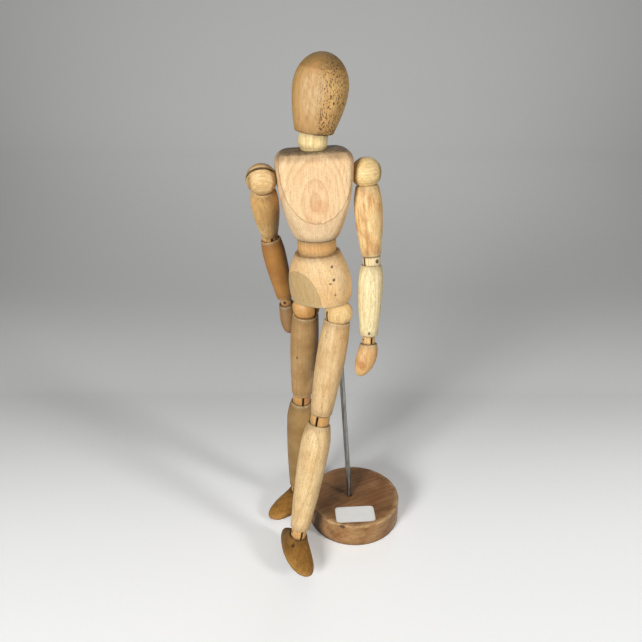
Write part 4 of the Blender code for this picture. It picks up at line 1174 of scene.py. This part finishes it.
fittingLooks = {
    "tongue": {"marks": (500, 500, 500), "dark": (58, 54, 50), "pale": (96, 92, 88), "tarnish": (66, 48, 34),
               "tarnishShare": 0.6, "roughness": 0.45},
    "pin": {"marks": (700, 700, 700), "dark": (70, 64, 58), "pale": (112, 104, 96), "tarnish": (52, 36, 26),
            "tarnishShare": 0.7, "roughness": 0.42},
}
for word, look in fittingLooks.items():
    finish = steelFinish(word + "Steel", look)
    for node, thing in frame["nodes"].items():
        if word in node.split("_"):
            for holder in thing.material_slots:
                holder.material = finish
print("steel fittings finished")


# Springs inside the waist and the neck

springCut = {"coil": 2.4, "wire": 0.45, "pitch": 1.5, "leg": 3.0, "hook": 1.95, "steps": 20, "hookSteps": 14,
             "over": 6.0, "twistOver": 9.0, "apart": 1.2}
springLook = {"marks": (900, 900, 900), "dark": (104, 104, 106), "pale": (158, 158, 160),
              "tarnish": (84, 72, 60), "tarnishShare": 0.4, "roughness": 0.35}
springRuns = {
    "waist": {"low": (pelvisPlace, pelvisAxes, (0, 0, pelvisCut["anchorAt"])),
              "high": (chestPlace, chestAxes, (0, springCut["apart"], chestCut["anchorAt"])),
              "bodies": ("pelvis", "waist_spring", "waist_peg", "chest")},
    "neck": {"low": (chestPlace, chestAxes, (0, -springCut["apart"], chestCut["anchorAt"])),
             "high": (headPlace, headAxes, (0, 0, headCut["anchorAt"])),
             "bodies": ("chest", "neck_spring", "neck_peg", "head")},
}


# spring wire: half a turn round the low pin and a leg, a helix about the line to the joint centre and on from
# there, then a leg and half a turn round the high pin; gives its points, outward directions and heights
def springLine(low, high, pivot, lowSide, highSide):
    cut = springCut
    leg, hook, pitch = cut["leg"], cut["hook"], cut["pitch"]
    below, above = np.linalg.norm(pivot - low), np.linalg.norm(high - pivot)
    lower, upper = (pivot - low) / below, (high - pivot) / above
    tilt = np.array(Vector(lower).rotation_difference(Vector(upper)).to_matrix())
    lowSide, highSide = axesFrom(lowSide, lower)[:, 0], axesFrom(highSide, upper)[:, 0]
    across = np.cross(lower, lowSide)
    phase = math.atan2(highSide @ tilt @ across, highSide @ tilt @ lowSide)
    span = below + above
    wound = span - 2 * leg - pitch
    turns = round(wound / pitch) + phase / fullTurn
    t = np.linspace(0, 1, int(turns * cut["steps"]))[:, None]
    height = leg + pitch / 2 + wound * t
    around = lowSide * np.cos(fullTurn * turns * t) + across * np.sin(fullTurn * turns * t)
    around = np.where(height > below, around @ tilt.T, around)
    middle = np.where(height > below, pivot + upper * (height - below), low + lower * height)
    a = np.linspace(math.pi, 0, cut["hookSteps"])[:, None]
    lowOut = lowSide * np.cos(a) - lower * np.sin(a)
    highOut = (highSide * np.cos(a) + upper * np.sin(a))[::-1]
    points = joined(low + hook * lowOut, [low + lowSide * hook + lower * leg], middle + around * cut["coil"],
                    [high + highSide * hook - upper * leg], high + hook * highOut)
    out = joined(lowOut, [lowSide], around, [highSide], highOut)
    heights = joined(0 * a[:, 0], [leg], height[:, 0], [span - leg], 0 * a[:, 0] + span)
    return points, out, heights, below, span


# round wire carried along its line, with a section square to the line at each point
def wireRows(points, out, radius, sides=8):
    along = np.gradient(points, axis=0)
    along = along / np.linalg.norm(along, axis=1, keepdims=True)
    out = out - along * np.sum(out * along, 1, keepdims=True)
    out = (out / np.linalg.norm(out, axis=1, keepdims=True))[:, None, :]
    a = ringAngles(sides)[None, :, None]
    rows = points[:, None, :] + radius * (out * np.cos(a) + np.cross(along[:, None, :], out) * np.sin(a))
    return joined(rows[:1], rows, rows[-1:])


# each spring in three lengths, one for each joint that it crosses
def springPieces(name, run, finish):
    cut = springCut
    low, high = (place / mm + axes @ np.array(at, float) for place, axes, at in (run["low"], run["high"]))
    pivot = jointPlace(f"{name}_side") / mm
    sides = run["low"][1][:, 0], run["high"][1][:, 0]
    points, out, heights, below, span = springLine(low, high, pivot, *sides)

    def along(h):    # place in metres at a height up the spring's middle line
        if h < below:
            return tuple((low + (pivot - low) * h / below) * mm)
        return tuple((pivot + (high - pivot) * (h - below) / (span - below)) * mm)

    seat = below - bodyPegCut[f"{name}_peg"]["ball"]
    twist = span - cut["leg"] - cut["twistOver"]
    lengths = (("Low", -1, seat, seat - cut["over"], seat), ("Middle", seat, twist, seat, seat + cut["over"]),
               ("High", twist, span + 1, twist, span - cut["leg"]))
    for (word, start, end, turnFrom, turnTo), *bodies in zip(lengths, run["bodies"], run["bodies"][1:]):
        held = np.flatnonzero((heights >= start) & (heights <= end))
        part = slice(held[0], held[-1] + 2)
        mesh = rowMesh("spring", wireRows(points[part], out[part], cut["wire"]) * mm)
        mesh.shade_smooth()
        mesh.materials.append(finish)
        piece = newObject(f"{name}Spring{word}", mesh)
        along(turnFrom)
        along(turnTo)
        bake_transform(piece)
        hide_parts(f"{name}_spring")


finish = steelFinish("springSteel", springLook)
for name, run in springRuns.items():
    springPieces(name, run, finish)
print("springs wound:", len(springRuns))


# Floor, lamps and camera

stageCut = {"near": -7.0, "far": 1.9, "bend": 0.9, "tall": 4.5, "half": 8.0, "across": 61}
stageLook = {"tone": (240, 240, 239), "back": (176, 176, 175), "hidden": (96, 96, 96), "blue": 0.985,
             "middle": -0.03, "halfView": (0.305, 0.456), "sideMost": 1.1, "sideShade": 0.3, "sideTilt": 0.06}
stageGlow = {"least": 0.05, "front": 0.11, "near": 0.06, "nearRun": (-2.4, 0.0), "frontEnd": (-0.06, 0.2),
             "back": 0.24, "backFrom": 0.22, "backMost": 0.3, "fallFrom": 1.8, "fallOver": 2.5}
lamps = {
    "main": {"place": (-0.68, -1.06, 0.56), "size": 0.45, "power": 18.5},
    "right": {"place": (1.45, -1.0, 0.72), "size": 0.4, "power": 16.5},
    "back": {"place": (0.2, 1.4, 1.4), "size": 0.9, "power": 3.2},
}
aimAt = np.array((-0.02, 0.0, 0.2))
roomLight = {"level": 0.04, "seen": 0.36}
cameraView = {"place": (-0.0315, -0.4696, 0.4268), "tilt": 64.95, "lens": 34.77, "sensor": 36.0, "near": 0.01}


# one for camera rays and for rays mirrored or let through, nought for the rays that light the object
def seenDirectly(bench):
    path = bench.node("ShaderNodeLightPath").socket.node
    camera, shiny, through = (Strand(bench.tree, path.outputs[f"Is {word} Ray"])
                              for word in ("Camera", "Glossy", "Transmission"))
    return (camera + shiny + through).atMost(1.0)


# brightness by the run from front to back: a front part that ends at the figure, leaving a dip of painted
# shadow behind it, a back part that grows by a square root, and a fall by a cube towards the top of the wall
def stageBrightness(run, glow):
    front = run.ramp(*glow["nearRun"]) * glow["near"] + glow["front"]
    front = front * (1 - run.ramp(*glow["frontEnd"]))
    past = (run - glow["backFrom"]).atLeast(0.0)
    back = (past.math("SQRT", past) * glow["back"]).atMost(glow["backMost"])
    fall = ((run - glow["fallFrom"]) / glow["fallOver"]).atLeast(0.0).atMost(1.0)
    return (front + back + glow["least"]) * (1 - fall * fall * fall)


# stage paper: that brightness for the camera, darker to both sides at the back
def stageFinish(look):
    made, shader, bench = newFinish("stagePaper")
    run = bench.attribute("run")
    seen = bench.node("ShaderNodeSeparateXYZ", {}, {"Vector": bench.objectPlace()})
    glow = stageBrightness(run, stageGlow)
    start, slope = look["halfView"]    # half width that the camera sees, in front and for each metre of run
    aside = (seen - look["middle"]) / (run * slope + start).atLeast(0.2)
    aside = aside.atMost(look["sideMost"]).atLeast(-look["sideMost"])
    shade = aside * aside * run.ramp(0.2, 0.7) * look["sideShade"]
    glow = glow * (1 - shade) + aside * look["sideTilt"] * (1 - run.ramp(0.05, 0.4))
    colour = bench.node("ShaderNodeCombineColor", {}, {0: glow, 1: glow, 2: glow * look["blue"]})
    # the paper greys from its front tone to the back one towards the wall: painted shade
    tone = run.ramp(0.05, 0.6).between(look["tone"], look["back"])
    wireUp(shader, {"Base Color": tone, "Emission Color": colour})
    for socket, value in (("Emission Strength", 1.0), ("Roughness", 0.9), ("Specular IOR Level", 0.0)):
        shader.inputs[socket].default_value = value
    hidden = bench.node("ShaderNodeBsdfDiffuse", {}, {"Color": paint(look["hidden"])})
    shown = Strand(bench.tree, shader.outputs[0])
    both = bench.node("ShaderNodeMixShader", {}, {0: seenDirectly(bench), 1: hidden, 2: shown})
    wireUp(bench.tree.nodes["Material Output"], {"Surface": both})
    return made


# stage: flat floor that turns up behind by a quarter circle into a wall, with its run from front to back
def stageSheet():
    cut, across = stageCut, stageCut["across"]
    floorY = np.linspace(cut["near"], cut["far"], 90)
    a = np.linspace(0, quarter, 24)[1:]
    wallZ = np.linspace(cut["bend"], cut["tall"], 9)[1:]
    y = joined(floorY, cut["far"] + cut["bend"] * np.sin(a), 0 * wallZ + cut["far"] + cut["bend"])
    z = joined(0 * floorY, cut["bend"] * (1 - np.cos(a)), wallZ)
    x = np.linspace(-cut["half"], cut["half"], across)
    points = np.stack(np.broadcast_arrays(x, y[:, None], z[:, None]), 2).reshape(-1, 3)
    low = (np.arange(len(y) - 1)[:, None] * across + np.arange(across - 1)).reshape(-1, 1)
    mesh = bpy.data.meshes.new("stage")
    mesh.from_pydata(points.tolist(), [], (low + np.array((0, 1, across + 1, across))).tolist())
    run = joined([0], np.cumsum(np.hypot(np.diff(y), np.diff(z)))) + cut["near"]
    setAttribute(mesh, "run", np.repeat(run, across))
    mesh.shade_smooth()
    mesh.materials.append(stageFinish(stageLook))
    newObject("stage", mesh)


def addLamp(name, look):
    lamp = bpy.data.lights.new(name, "AREA")
    lamp.shape, lamp.size, lamp.energy = "DISK", look["size"], look["power"]
    holder = newObject(name, lamp)
    axes = axesFrom(np.array((1.0, 0.2, 0)), np.array(look["place"]) - aimAt)
    holder.matrix_world = Matrix.LocRotScale(look["place"], Matrix(axes.tolist()).to_quaternion(), None)
    holder.visible_camera = False


def lightRoom(look):
    world = bpy.data.worlds.new("room")
    world.use_nodes = True
    room = world.node_tree.nodes["Background"]
    room.inputs["Color"].default_value = (1, 1, 1, 1)
    strength = seenDirectly(Strand(world.node_tree)) * (look["seen"] - look["level"]) + look["level"]
    wireUp(room, {"Strength": strength})
    bpy.context.scene.world = world


def addCamera(view):
    lens = bpy.data.cameras.new("camera")
    lens.lens, lens.sensor_width, lens.clip_start = view["lens"], view["sensor"], view["near"]
    viewer = newObject("camera", lens)
    viewer.location = view["place"]
    viewer.rotation_euler = (math.radians(view["tilt"]), 0, 0)
    bpy.context.scene.camera = viewer


stageSheet()
for name, look in lamps.items():
    addLamp(name, look)
lightRoom(roomLight)
addCamera(cameraView)
bpy.context.scene.view_settings.view_transform = "Standard"
print("stage, lamps and camera set")
